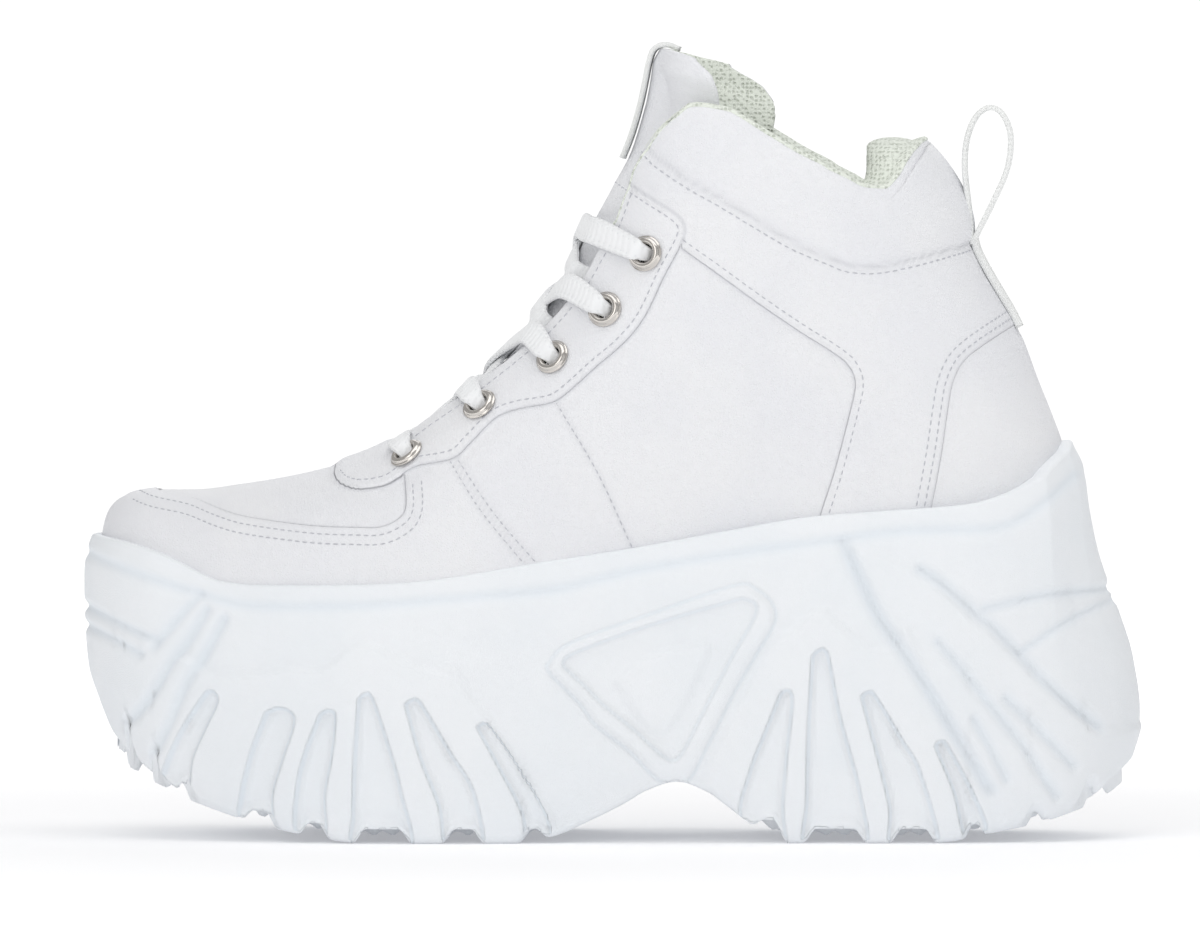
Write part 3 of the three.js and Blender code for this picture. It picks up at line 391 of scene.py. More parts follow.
def close_ends(piece):
    take(piece)
    bpy.ops.object.mode_set(mode="EDIT")
    bpy.ops.mesh.select_mode(type="EDGE")
    bpy.ops.mesh.select_all(action="DESELECT")
    bpy.ops.mesh.select_non_manifold(extend=False, use_wire=False, use_multi_face=False,
                                     use_non_contiguous=False, use_verts=False)
    bpy.ops.mesh.edge_face_add()
    bpy.ops.mesh.select_all(action="SELECT")
    bpy.ops.mesh.normals_make_consistent(inside=False)
    bpy.ops.mesh.select_mode(type="VERT")
    bpy.ops.object.mode_set(mode="OBJECT")
    return piece


def finished(piece, *stuff, slot, replaces=(), smooth=True):
    """Dresses a piece, hangs it under the root body, hides the engineering parts it replaces, and counts it.
    """
    piece.data.materials.clear()
    for one in stuff:
        piece.data.materials.append(one)
    if smooth:
        take(piece)
        bpy.ops.object.shade_smooth()
    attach(piece, "root")
    if replaces:
        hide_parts(*replaces)
    print(piece.name, len(piece.data.polygons), "faces")
    return piece


def joined(name, pieces):
    deselect()
    for piece in pieces:
        piece.select_set(True)
    bpy.context.view_layer.objects.active = pieces[0]
    bpy.ops.object.join()
    pieces[0].name = pieces[0].data.name = name
    return pieces[0]


print("helpers ready")

# %% [markdown]
# Materials are built from nodes. A small helper adds a node and links or sets its inputs, so each material
# reads as a short list. Effects that more than one material uses (grain, weave and ribs) are node
# groups that put out a height, and most put out a pattern too, and each material feeds them to its shader.

# %% Node helpers
class Graph:
    def __init__(self, tree):
        self.tree = tree

    def add(self, kind, put=None, **settings):
        node = self.tree.nodes.new(kind)
        for key, value in settings.items():
            setattr(node, key, value)
        for key, value in (put or {}).items():
            if isinstance(value, bpy.types.NodeSocket):
                self.tree.links.new(value, node.inputs[key])
            else:
                node.inputs[key].default_value = value
        return node

    def math(self, operation, a, b=0.0, c=0.0):
        return self.add("ShaderNodeMath", {0: a, 1: b, 2: c}, operation=operation).outputs[0]

    def step(self, value, low, high, start=0.0, end=1.0):
        put = {"Value": value, "From Min": low, "From Max": high, "To Min": start, "To Max": end}
        return self.add("ShaderNodeMapRange", put, interpolation_type="SMOOTHSTEP").outputs[0]

    def mix(self, share, a, b):
        node = self.add("ShaderNodeMix", data_type="RGBA")
        for index, value in ((0, share), (6, a), (7, b)):
            if isinstance(value, bpy.types.NodeSocket):
                self.tree.links.new(value, node.inputs[index])
            else:
                node.inputs[index].default_value = value
        return node.outputs[2]


def group(name, inputs, outputs):
    """A node group with named float inputs and named outputs."""
    tree = bpy.data.node_groups.new(name, "ShaderNodeTree")
    for key, value in inputs.items():
        socket = tree.interface.new_socket(key, in_out="INPUT", socket_type="NodeSocketFloat")
        socket.default_value = value
    for key, kind in outputs.items():
        tree.interface.new_socket(key, in_out="OUTPUT", socket_type=kind)
    graph = Graph(tree)
    return graph, graph.add("NodeGroupInput").outputs, graph.add("NodeGroupOutput").inputs


def place_group(graph, tree, **put):
    return graph.add("ShaderNodeGroup", {key.replace("_", " "): value for key, value in put.items()},
                     node_tree=tree).outputs


def material(name, color, roughness, **sockets):
    made = bpy.data.materials.new(name)
    made.use_nodes = True
    graph = Graph(made.node_tree)
    shader = made.node_tree.nodes["Principled BSDF"]
    shader.inputs["Base Color"].default_value = (*color, 1)
    shader.inputs["Roughness"].default_value = roughness
    for key, value in sockets.items():
        shader.inputs[key.replace("_", " ")].default_value = value
    return made, graph, shader.inputs


def bumped(graph, sockets, height, distance, strength=1.0):
    """Feeds a height in millimetres to the shader's normal."""
    node = graph.add("ShaderNodeBump", {"Height": height, "Distance": distance * MM, "Strength": strength})
    graph.tree.links.new(node.outputs["Normal"], sockets["Normal"])


print("node helpers ready")

# %% Shared effects: grain, weave and ribs
FLOAT = "NodeSocketFloat"

graph, put, out = group("leather_grain", {"Cell mm": 1.1, "Depth": 1.0}, {"Height": FLOAT, "Mottle": FLOAT})
place = graph.add("ShaderNodeTexCoord").outputs["Object"]
scale = graph.math("DIVIDE", 1000.0, put["Cell mm"])
cells = graph.add("ShaderNodeTexVoronoi", {"Vector": place, "Scale": scale, "Randomness": 1.0},
                  feature="DISTANCE_TO_EDGE")
finer = graph.math("MULTIPLY", scale, 2.3)
pores = graph.add("ShaderNodeTexNoise", {"Vector": place, "Scale": finer, "Detail": 3.0})
broad = graph.add("ShaderNodeTexNoise", {"Vector": place, "Scale": 34.0, "Detail": 3.0})
pebble = graph.step(cells.outputs["Distance"], 0.0, 0.34)
height = graph.math("MULTIPLY_ADD", pores.outputs["Fac"], 0.5, pebble)
graph.tree.links.new(graph.math("MULTIPLY", height, put["Depth"]), out["Height"])
graph.tree.links.new(broad.outputs["Fac"], out["Mottle"])
grain = graph.tree

graph, put, out = group("knit_weave", {"Pitch mm": 1.1}, {"Height": FLOAT, "Hole": FLOAT})
place = graph.add("ShaderNodeTexCoord").outputs["Object"]
scale = graph.math("DIVIDE", 1000.0, put["Pitch mm"])
loops = graph.add("ShaderNodeTexVoronoi", {"Vector": place, "Scale": scale, "Randomness": 0.45},
                  feature="F1")
yarn = graph.step(loops.outputs["Distance"], 0.1, 0.55)
finer = graph.math("MULTIPLY", scale, 3.0)
fuzz = graph.add("ShaderNodeTexNoise", {"Vector": place, "Scale": finer, "Detail": 2.0})
graph.tree.links.new(graph.math("MULTIPLY_ADD", fuzz.outputs["Fac"], 0.25, yarn), out["Height"])
graph.tree.links.new(graph.step(loops.outputs["Distance"], 0.42, 0.12), out["Hole"])
weave = graph.tree

graph, put, out = group("braid_ribs", {"Across": 8.0, "Along": 60.0, "Slant": 0.5}, {"Height": FLOAT})
place = graph.add("ShaderNodeTexCoord").outputs["UV"]
split = graph.add("ShaderNodeSeparateXYZ", {"Vector": place}).outputs
fold = graph.math("PINGPONG", graph.math("MULTIPLY", split["X"], put["Across"]), 0.5)
lean = graph.math("MULTIPLY_ADD", fold, put["Slant"], graph.math("MULTIPLY", split["Y"], put["Along"]))
rib = graph.math("SINE", graph.math("MULTIPLY", lean, 2 * math.pi))
cord = graph.math("SINE", graph.math("MULTIPLY", fold, 2 * math.pi))
rounded = graph.math("MULTIPLY_ADD", cord, 0.45, 0.5)
graph.tree.links.new(graph.math("MULTIPLY_ADD", rib, 0.3, rounded), out["Height"])
ribs = graph.tree
print("node groups:", [tree.name for tree in bpy.data.node_groups])

# %% [markdown]
# White leather is a coated hide: a fine pebbled grain, a soft satin shine, and a faint cloudiness. Where
# one panel overlaps the next its cut edge is crisper than the sheet's own squares. So the sheet carries,
# at each corner, its distance to every panel edge, and the material raises the panel exactly where that
# crosses zero. The colour also carries painted shade in a band beside each panel edge and along the seams.

# %% Leather
PANELS = {"facing": 0.8, "apron": 0.42, "quarter": 0.42, "counter": 0.42}  # and the step at each edge, in mm
leather, graph, sockets = material("white_leather", (0.86, 0.86, 0.87), 0.46, Specular_IOR_Level=0.45)
surface = place_group(graph, grain, Cell_mm=0.75)
total, painted_shade = graph.math("MULTIPLY", surface["Height"], 0.07), None
for panel, stand in PANELS.items():
    away = graph.add("ShaderNodeAttribute", attribute_name=panel).outputs["Fac"]
    total = graph.math("MULTIPLY_ADD", graph.step(away, -0.22, 0.22), stand, total)
    # Painted shade: the colour darkens in a band at and just outside each raised panel's edge.
    dark = graph.math("MULTIPLY", graph.step(away, -0.9, -0.1), graph.step(away, 0.28, 0.02))
    painted_shade = dark if painted_shade is None else graph.math("MAXIMUM", painted_shade, dark)
# Painted shade along the collar seam and the plain seams, read from the seam value stored on the sheet.
seam = graph.add("ShaderNodeAttribute", attribute_name="seam").outputs["Fac"]
painted_shade = graph.math("MAXIMUM", painted_shade, graph.math("MULTIPLY", seam, 0.8))
patches = graph.step(surface["Mottle"], 0.35, 0.68)
cloud = graph.mix(patches, (0.825, 0.832, 0.862, 1), (0.855, 0.86, 0.88, 1))
# The painted shade is mixed into the leather's colour as a grey.
tint = graph.mix(graph.math("MULTIPLY", painted_shade, 0.42), cloud, (0.60, 0.61, 0.65, 1))
graph.tree.links.new(tint, sockets["Base Color"])
graph.tree.links.new(graph.step(surface["Mottle"], 0.3, 0.7, 0.43, 0.53), sockets["Roughness"])
bumped(graph, sockets, total, 1.0)

# %% Knitted lining, insole cloth and woven tape
def cloth(name, color, shade, pitch, depth):
    made, graph, sockets = material(name, color, 0.92, Sheen_Weight=0.25, Sheen_Roughness=0.5)
    fabric = place_group(graph, weave, Pitch_mm=pitch)
    # The darker colour is painted shade, mixed in where the knit's holes are.
    graph.tree.links.new(graph.mix(fabric["Hole"], (*color, 1), (*shade, 1)), sockets["Base Color"])
    bumped(graph, sockets, fabric["Height"], depth)
    return made


def braided(name, color, shade, across, along, slant, depth):
    made, graph, sockets = material(name, color, 0.85, Sheen_Weight=0.2, Sheen_Roughness=0.5)
    height = place_group(graph, ribs, Across=across, Along=along, Slant=slant)["Height"]
    # The darker colour is painted shade in the valleys between the ribs.
    valleys = graph.step(height, 0.42, 0.02)
    graph.tree.links.new(graph.mix(valleys, (*color, 1), (*shade, 1)), sockets["Base Color"])
    bumped(graph, sockets, height, depth)
    return made


lining_cloth = cloth("knitted_lining", (0.82, 0.86, 0.78), (0.60, 0.65, 0.55), 1.15, 0.35)
insole_cloth = cloth("insole_cloth", (0.80, 0.82, 0.79), (0.68, 0.70, 0.67), 0.9, 0.15)
lace_braid = braided("lace_braid", (0.90, 0.91, 0.92), (0.70, 0.72, 0.74), 5.0, 34.0, 1.2, 0.22)
tape_weave = braided("woven_tape", (0.89, 0.90, 0.89), (0.68, 0.70, 0.68), 6.0, 60.0, 0.9, 0.14)

# %% Moulded rubber, nickel and thread
rubber, graph, sockets = material("moulded_rubber", (0.865, 0.893, 0.92), 0.5, Specular_IOR_Level=0.4)
surface = place_group(graph, grain, Cell_mm=0.5)
patches = graph.step(surface["Mottle"], 0.3, 0.7)
fine = graph.mix(patches, (0.855, 0.885, 0.915, 1), (0.88, 0.903, 0.928, 1))
# Painted shade: the colour darkens in the grooves and along the edges of the slots, the frame and the well,
# mixed in as a darker blue-grey.
groove = graph.add("ShaderNodeAttribute", attribute_name="groove").outputs["Fac"]
line = None
for edge, weight in (("slot", 0.9), ("frame", 0.55), ("well", 0.55)):
    away = graph.math("ABSOLUTE", graph.add("ShaderNodeAttribute", attribute_name=edge).outputs["Fac"])
    near = graph.math("MULTIPLY", graph.step(away, 0.8, 0.1), weight)
    line = near if line is None else graph.math("MAXIMUM", line, near)
shade = graph.math("MAXIMUM", graph.math("MULTIPLY", groove, 0.3), graph.math("MULTIPLY", line, 0.42))
graph.tree.links.new(graph.mix(shade, fine, (0.70, 0.79, 0.87, 1)), sockets["Base Color"])
skin = graph.math("MULTIPLY", surface["Height"], 0.03)
bumped(graph, sockets, graph.math("MULTIPLY_ADD", line, -0.3, skin), 1.0)

nickel, graph, sockets = material("nickel", (0.62, 0.59, 0.56), 0.18, Metallic=1.0)
place = graph.add("ShaderNodeTexCoord").outputs["Object"]
polish = graph.add("ShaderNodeTexNoise", {"Vector": place, "Scale": 260.0}).outputs["Fac"]
graph.tree.links.new(graph.step(polish, 0.3, 0.7, 0.13, 0.24), sockets["Roughness"])
tint = graph.mix(polish, (0.58, 0.55, 0.52, 1), (0.68, 0.65, 0.61, 1))
graph.tree.links.new(tint, sockets["Base Color"])

thread, graph, sockets = material("thread", (0.60, 0.61, 0.65), 0.7)
surface = place_group(graph, grain, Cell_mm=0.3)
bumped(graph, sockets, surface["Height"], 0.06)
print("materials:", [made.name for made in bpy.data.materials])

# %% [markdown]
# The panels of the upper are cut along drawn lines, seen from the side as (x, z). A line is smoothed and
# laid on the wall, so distances to it are measured in space and not across the drawing.

# %% Seam lines
FACING = [(-74.2, 101), (-73.5, 99), (-72.5, 96), (-70, 94), (-65, 93), (-57.5, 94.5), (-50.5, 99),
          (-40, 101.5), (-35, 106), (-29, 112), (-23, 114.5), (-13.5, 116.5), (-8, 120.5), (-2, 126),
          (5.5, 132.5), (11, 139.5), (16, 150), (20, 157.5), (21.6, 161.5), (21.2, 164.5), (18.5, 167.2),
          (12.5, 171), (4, 176.5)]
TOE_SEAM = [(-129, 95.5), (-126.5, 94), (-121, 92.2), (-111.5, 90.4), (-103.5, 87.8), (-96.5, 86),
            (-85.5, 84.5), (-76, 83.6), (-66, 83.4), (-59, 83.6), (-54, 86), (-52.5, 89), (-53, 95),
            (-54, 99)]
QUARTER = [(19.5, 158.5), (30, 151), (41, 143), (52, 135.5), (61.5, 129.5), (65.3, 126), (66.8, 121.5),
           (65.5, 114.5), (61.5, 99), (57.5, 86.5), (55, 76)]
COUNTER = [(109.5, 137.8), (105, 135), (99, 131), (94.5, 127), (92, 121.5), (90.8, 114), (89.8, 106),
           (88.5, 98), (86.5, 87.5), (85, 78)]
COLLAR = [(9.8, 186.5), (12, 184.6), (15, 181), (22.5, 175.7), (31.8, 170.3), (41.8, 164.3), (50.7, 159.2),
          (59.5, 155.4), (64.8, 153.3), (71.5, 152.8), (78.5, 153.9), (87, 156), (94.5, 158.2), (98, 159)]
VAMP_BAR = [(-41.3, 101.5), (-32, 87.5), (-19.5, 72.5), (-17, 69)]
VAMP_BAR_2 = [(-39, 101.5), (-28.5, 86.8), (-16.5, 73), (-13.5, 69.5)]
SIDE_BAR = [(-13, 117), (-1.5, 98), (8, 77.5), (10, 72)]
REACH = 7.0  # distances to a line are kept up to this many millimetres


def smooth_line(points, spacing=1.2):
    """A rounded line through the points, as many places at even steps."""
    points = np.array(points, float)
    padded = np.vstack([2 * points[0] - points[1], points, 2 * points[-1] - points[-2]])
    found = []
    for a, b, c, d in zip(padded, padded[1:], padded[2:], padded[3:]):
        t = np.linspace(0, 1, 12, endpoint=False)[:, None]
        bend = (2 * a - 5 * b + 4 * c - d) * t ** 2
        twist = (3 * b - a - 3 * c + d) * t ** 3
        found.append(0.5 * (2 * b + (c - a) * t + bend + twist))
    dense = np.vstack([*found, points[-1:]])
    along = np.concatenate([[0], np.cumsum(np.linalg.norm(np.diff(dense, axis=0), axis=1))])
    at = np.linspace(0, along[-1], max(int(along[-1] / spacing), 2) + 1)
    return np.stack([np.interp(at, along, column) for column in dense.T], -1)


def to_line(places, line):
    """Distance from each place to a line of straight pieces, up to REACH."""
    away = np.full(len(places), REACH)
    inside = np.all((places > line.min(0) - REACH) & (places < line.max(0) + REACH), axis=1)
    near = places[inside]
    best = np.full(len(near), REACH)
    for a, b in zip(line, line[1:]):
        ab = b - a
        share = np.clip((near - a) @ ab / max(ab @ ab, 1e-9), 0, 1)[:, None]
        best = np.minimum(best, np.linalg.norm(near - a - share * ab, axis=1))
    away[inside] = best
    return away


def within(x, z, outline):
    """Which places lie inside a closed outline, by counting its crossings to the right."""
    found = np.zeros(len(x), bool)
    for (ax, az), (bx, bz) in zip(outline, np.roll(outline, -1, axis=0)):
        if az == bz:
            continue
        crosses = ((az > z) != (bz > z)) & (x < (bx - ax) * (z - az) / (bz - az) + ax)
        found ^= crosses
    return found


def laid(side, line):
    x, z = smooth_line(line).T
    return on_wall(side, x, np.minimum(z, np.maximum(ridge_z(x), 60)))


# A panel is a line and the far corners that close it into an outline.
CLOSED = {"facing": (FACING, [(-10, 195), (-90, 150)]),
          "vamp": (TOE_SEAM, [(-60, 140), (-129, 140)]),
          "quarter": (QUARTER, [(150, 40), (150, 230), (-40, 230), (-40, 185), (2, 168)]),
          "counter": (COUNTER, [(150, 60), (150, 142)]),
          "collar": (COLLAR, [(150, 159), (150, 230), (0, 230)])}
PLAIN_SEAMS = (VAMP_BAR, VAMP_BAR_2, SIDE_BAR)


def seam_distances(side, points):
    """Signed distance to each panel's edge, positive on the panel, and distance to the plain seams."""
    flat = points.reshape(-1, 3)
    found = {}
    for name, (line, far) in CLOSED.items():
        away = to_line(flat, laid(side, line))
        outline = np.vstack([smooth_line(line), far])
        found[name] = np.where(within(flat[:, 0], flat[:, 2], outline), away, -away)
    found["bars"] = np.min([to_line(flat, laid(side, line)) for line in PLAIN_SEAMS], axis=0)
    apron = found.pop("vamp")
    found["apron"] = np.minimum(-apron, -found["facing"])
    found["quarter"] = np.minimum(found["quarter"], -found["facing"])
    return found


def leather_rise(points, away):
    """How far the leather stands over the bare last, from its distances to the seams."""
    x, y, z = points.reshape(-1, 3).T
    step = {name: smoothstep(away[name], -0.75, 0.75) for name in away}
    rise = 1.3 * step["facing"] + 0.6 * step["apron"]
    rise = rise + 1.1 * step["quarter"] * (1 - step["counter"]) + 0.5 * step["counter"]
    for name, depth in (("facing", 2.0), ("quarter", 2.0), ("counter", 2.2)):
        rise = rise - 0.18 * np.exp(-((away[name] - depth) / 0.7) ** 2)
        rise = rise - 0.22 * np.exp(-((away[name] + 0.8) / 0.9) ** 2)
    rise = rise - 0.2 * np.exp(-((away["apron"] - 2.2) / 1.4) ** 2)
    rise = rise - 0.2 * np.exp(-((away["apron"] + 0.8) / 0.9) ** 2)
    puffed = 1.5 * (1 - np.exp(-np.clip(away["collar"], 0, None) / 2.6))
    fade = smoothstep(x, 6, 20)
    rise = rise + (puffed - 0.5 * np.exp(-(away["collar"] / 0.9) ** 2)) * fade
    rise = rise - 0.3 * np.exp(-(away["bars"] / 0.8) ** 2) * (1 - step["facing"])
    broad = np.sin(x / 11 + z / 17) * np.sin(z / 9 - x / 23 + y / 15)
    fine = np.sin(x / 6.1 + y / 7 + 1) * np.sin(z / 5.3)
    return rise + 0.11 * (broad + 0.6 * fine)


print("panels:", ", ".join(CLOSED))

# %% [markdown]
# The leather of the upper is one sheet with its panels raised on it. Real panels are cut, skived thin at
# their edges and stitched down, so a raised step with a soft shoulder is what shows. The sheet runs from
# the feather line up to the rim. It is open along the feather line, which lies deep in the sole.

# %% Leather upper
LEATHER_ROWS, RIM_ROWS = 96, 9
EYELETS = [(-52.4, 101.8), (-33, 115), (-13.4, 128), (0.6, 141), (11.4, 156)]
EYELET_CUT = 3.0
SEAM_HALF = 0.55  # half the width of the painted shade along a seam


def binding_start(k, half_round, side):
    """Where the lining begins on a column: it laps over the front edge, and starts on the rim elsewhere."""
    top = net[side][k][-1]
    front = smoothstep(top[2], 162, 168) * (1 - smoothstep(top[0], 12, 24))
    low = half_round * 0.72
    collar = lerp(low, half_round * 0.13, smoothstep(top[2], 160, 168))
    return float(lerp(collar, -2.6, front))


def leather_grid(side):
    points, facing = [], []
    for k in range(COLUMNS + 1):
        half_round, length = column_profile(side, k, np.zeros(1))[2:]
        last = binding_start(k, half_round, side) + 0.9
        body = -length * (1 - np.linspace(0, 1, LEATHER_ROWS))
        rim = np.linspace(0, 1, RIM_ROWS + 1)[1:]
        over = max(last, 0)
        places = np.concatenate([np.minimum(body, min(last, 0)), np.minimum(rim * over, over)])
        p, n, *_ = column_profile(side, k, places)
        points.append(p)
        facing.append(n)
    return np.array(points), np.array(facing)


def raised_leather(side):
    points, facing = leather_grid(side)
    away = seam_distances(side, points)
    rise = leather_rise(points, away).reshape(points.shape[:2])
    rise[:, -1] -= 0.9 * opened
    rise *= smoothstep(points[..., 0] + 138, -1, 4)
    moved = points + facing * rise[..., None]
    moved[-1, :, 1] = 0
    return moved, away


def leather_side(side):
    moved, away = raised[side]
    # Closeness to the collar seam and the plain seams, stored as the seam value, sets where the leather's
    # colour gets painted shade.
    nearest = np.minimum(np.abs(away["collar"]), away["bars"])
    edges = {panel: away[panel] for panel in PANELS}
    return with_attributes(sheet("leather_side", moved), **edges, seam=np.exp(-(nearest / SEAM_HALF) ** 2))


raised = {side: raised_leather(side) for side in SIDES}
crest = (raised[LATERAL][0][closed, LEATHER_ROWS - 1:] + raised[MEDIAL][0][closed, LEATHER_ROWS - 1:]) / 2
for side in SIDES:
    raised[side][0][closed, LEATHER_ROWS - 1:] = crest
upper = joined("leather_upper", [leather_side(side) for side in SIDES])
weld(upper, 3e-5, recalculate=False)


def face_centres(piece):
    centres = np.zeros(len(piece.data.polygons) * 3)
    piece.data.polygons.foreach_get("center", centres)
    return centres.reshape(-1, 3) / MM


def cut_faces(piece, chosen):
    """Deletes the chosen faces with the delete operator."""
    take(piece)
    bpy.ops.object.mode_set(mode="EDIT")
    bpy.ops.mesh.select_all(action="DESELECT")
    bpy.ops.object.mode_set(mode="OBJECT")
    piece.data.polygons.foreach_set("select", chosen)
    bpy.ops.object.mode_set(mode="EDIT")
    bpy.ops.mesh.delete(type="FACE")
    bpy.ops.object.mode_set(mode="OBJECT")


def turned_out(piece, normal_of):
    """Turns an open sheet so that its faces agree with the outward direction at their centres."""
    facing = np.zeros(len(piece.data.polygons) * 3)
    piece.data.polygons.foreach_get("normal", facing)
    agree = np.sum(facing.reshape(-1, 3) * normal_of(face_centres(piece)), axis=1)
    if np.mean(agree) < 0:
        edit(piece, lambda: bpy.ops.mesh.flip_normals())


edit(upper, lambda: bpy.ops.mesh.normals_make_consistent(inside=False))
turned_out(upper, lambda c: unit(c - np.array([20, 0, 110])))
centres = face_centres(upper)
holes = np.zeros(len(centres), bool)
for side in SIDES:
    for x, z in EYELETS:
        spot = on_wall(side, np.array([x]), np.array([z]))[0]
        holes |= np.linalg.norm(centres - spot, axis=1) < EYELET_CUT
cut_faces(upper, holes)
finished(upper, leather, slot="upper_leather", replaces=("upper",))

# %% [markdown]
# The lining is knitted mesh over foam. It covers the inside, rolls over the rim and laps onto the
# leather, where it shows as a bound edge. It is soft and filled.

# %% Lining and bound edge
LINING_COLUMN_STEP, LINING_ROWS = 2, 60


def lining_side(side):
    rows = []
    for k in range(0, COLUMNS + 1, LINING_COLUMN_STEP):
        half_round, length = column_profile(side, k, np.zeros(1))[2:]
        first = binding_start(k, half_round, side)
        lip = first + np.array([0, 0.12, 0.4, 0.8])
        rest = lerp(first + 1.2, half_round + length * 0.98, np.linspace(0, 1, LINING_ROWS) ** 1.25)
        places = np.concatenate([lip, rest])
        points, facing, *_ = column_profile(side, k, places)
        stand = np.concatenate([[-0.5, 0.2, 0.4, 0.45], np.full(LINING_ROWS, 0.45)])
        cover = leather_rise(points, seam_distances(side, points))
        stand = stand + cover * (1 - smoothstep(places, first + 0.5, first + 2))
        stand = stand * (1 - smoothstep(places, half_round * 0.7, half_round * 1.4)) * float(opened[k])
        rows.append(points + facing * stand[:, None])
    return sheet("lining_side", np.array(rows))


lining = joined("lining", [lining_side(side) for side in SIDES])
weld(lining, 3e-5)
turned_out(lining, lambda c: unit(np.array([20, 0, 110]) - c))
finished(lining, lining_cloth, slot="insole_cloth")

# %% [markdown]
# The sole is one thick moulding. Its wall follows the widest outline round the foot, and rings at many
# levels set it in and out. Raised ribs, fans of slots, a triangle and two bands are cut into the wall as
# depths that depend on the place seen from the side, so both sides carry the same pattern.

# %% Outline and edges of the sole
SOLE_PLAN = [(-142, 8, 8), (-138, -12, 26), (-129, -27, 37), (-115, -38, 45), (-98, -46, 50), (-78, -52, 53),
             (-58, -54.5, 52.5), (-36, -53.5, 48), (-10, -49.5, 42.5), (18, -46.5, 40.5), (46, -45.5, 42),
             (74, -45, 43.5), (100, -42, 42), (122, -34, 34), (136, -20, 20), (142, 0, 0)]
GROUND = [(-142, 28), (-135, 23), (-127, 18.6), (-119, 14.6), (-108, 9.8), (-91, 4.6), (-78, 1.8),
          (-66, 0.2), (-60, 0), (-22, 0), (-13.5, 1.6), (-3, 6), (6, 10.5), (12, 14), (20, 16.3),
          (28, 13.6), (33, 10), (41, 4), (48, 0), (88, 0), (104, 2.7), (114.5, 4.8), (125, 8),
          (134, 12.5), (142, 19)]
LIP = [(-142, 79.5), (-134, 78.2), (-122.5, 75.2), (-113, 71), (-105, 68), (-95, 67), (-70, 67.2),
       (-52.7, 67.8), (-34.8, 69.9), (-17.5, 72.8), (8, 76.8), (32, 81.3), (56.4, 85.4), (72, 86.6),
       (98, 88.6), (112, 92), (126, 98), (142, 105)]
SOLE_WALL = [(0, -7.5, -2.5, -3.6), (0.17, -4, 0, 0), (0.34, -1.2, -0.4, -1.9), (0.5, -0.4, -1, -6.2),
             (0.66, 0, -1.6, -11), (0.8, 0, -2.4, -13.6), (0.93, -0.4, -3.6, -15.2), (1, -1.8, -5, -18)]
CHANNELS = [(-132.6, -129.2, 28.8), (-124.8, -121, 22.3), (-116.4, -111, 15.8), (-96.4, -87.6, 8.4),
            (-80.2, -73.3, 5.4), (-64.9, -51.1, 3.9), (-40.9, -31.7, 3.9), (-20.5, -14.5, 3.9),
            (40.5, 47.9, 6.2), (54.6, 69.1, 3.9), (77.5, 88.1, 3.9), (96.8, 101.7, 5), (113, 117.8, 8.2),
            (128, 132.7, 15.3)]
SOLE_COLUMNS, SOLE_LEVELS, SOLE_ENDS = 360, 84, (-142, 142)

sole_plan = {LATERAL: plan_track(SOLE_PLAN, 1), MEDIAL: plan_track(SOLE_PLAN, 2)}
ground_z, lip_z = track(GROUND), track(LIP)
wall_sets = [track(SOLE_WALL, column) for column in (1, 2, 3)]


def bottom_z(x):
    """The sole's lower edge: the lugs, with rounded channels between them."""
    ground = ground_z(x)
    rise = np.zeros_like(ground)
    for start, end, top in CHANNELS:
        mouth = min((end - start) * 0.34, 2.2)
        shape = smoothstep(x, start - mouth * 0.6, start + mouth)
        shape = shape * (1 - smoothstep(x, end - mouth, end + mouth * 0.6))
        rise = np.maximum(rise, np.maximum(top - ground, 0) * shape)
    return ground + rise


def sole_rim():
    shares = (np.arange(SOLE_COLUMNS) + 0.5) / SOLE_COLUMNS
    even = lerp((1 - np.cos(shares * math.pi)) / 2, shares, 0.25)
    xs = lerp(*SOLE_ENDS, even)
    near, far = [np.stack([xs, sole_plan[side](xs)], -1) for side in SIDES]
    rim = np.concatenate([near, far[::-1]])
    step = np.roll(rim, -1, axis=0) - np.roll(rim, 1, axis=0)
    outward = unit(np.stack([-step[:, 1], step[:, 0]], -1))
    return rim, outward


rim, outward = sole_rim()
if np.mean(np.sum(outward * rim, axis=1)) < 0:
    outward = -outward
perimeter = np.linalg.norm(np.diff(rim, axis=0), axis=1).sum()
print("sole rim", len(rim), "places, perimeter", round(float(perimeter)), "mm")

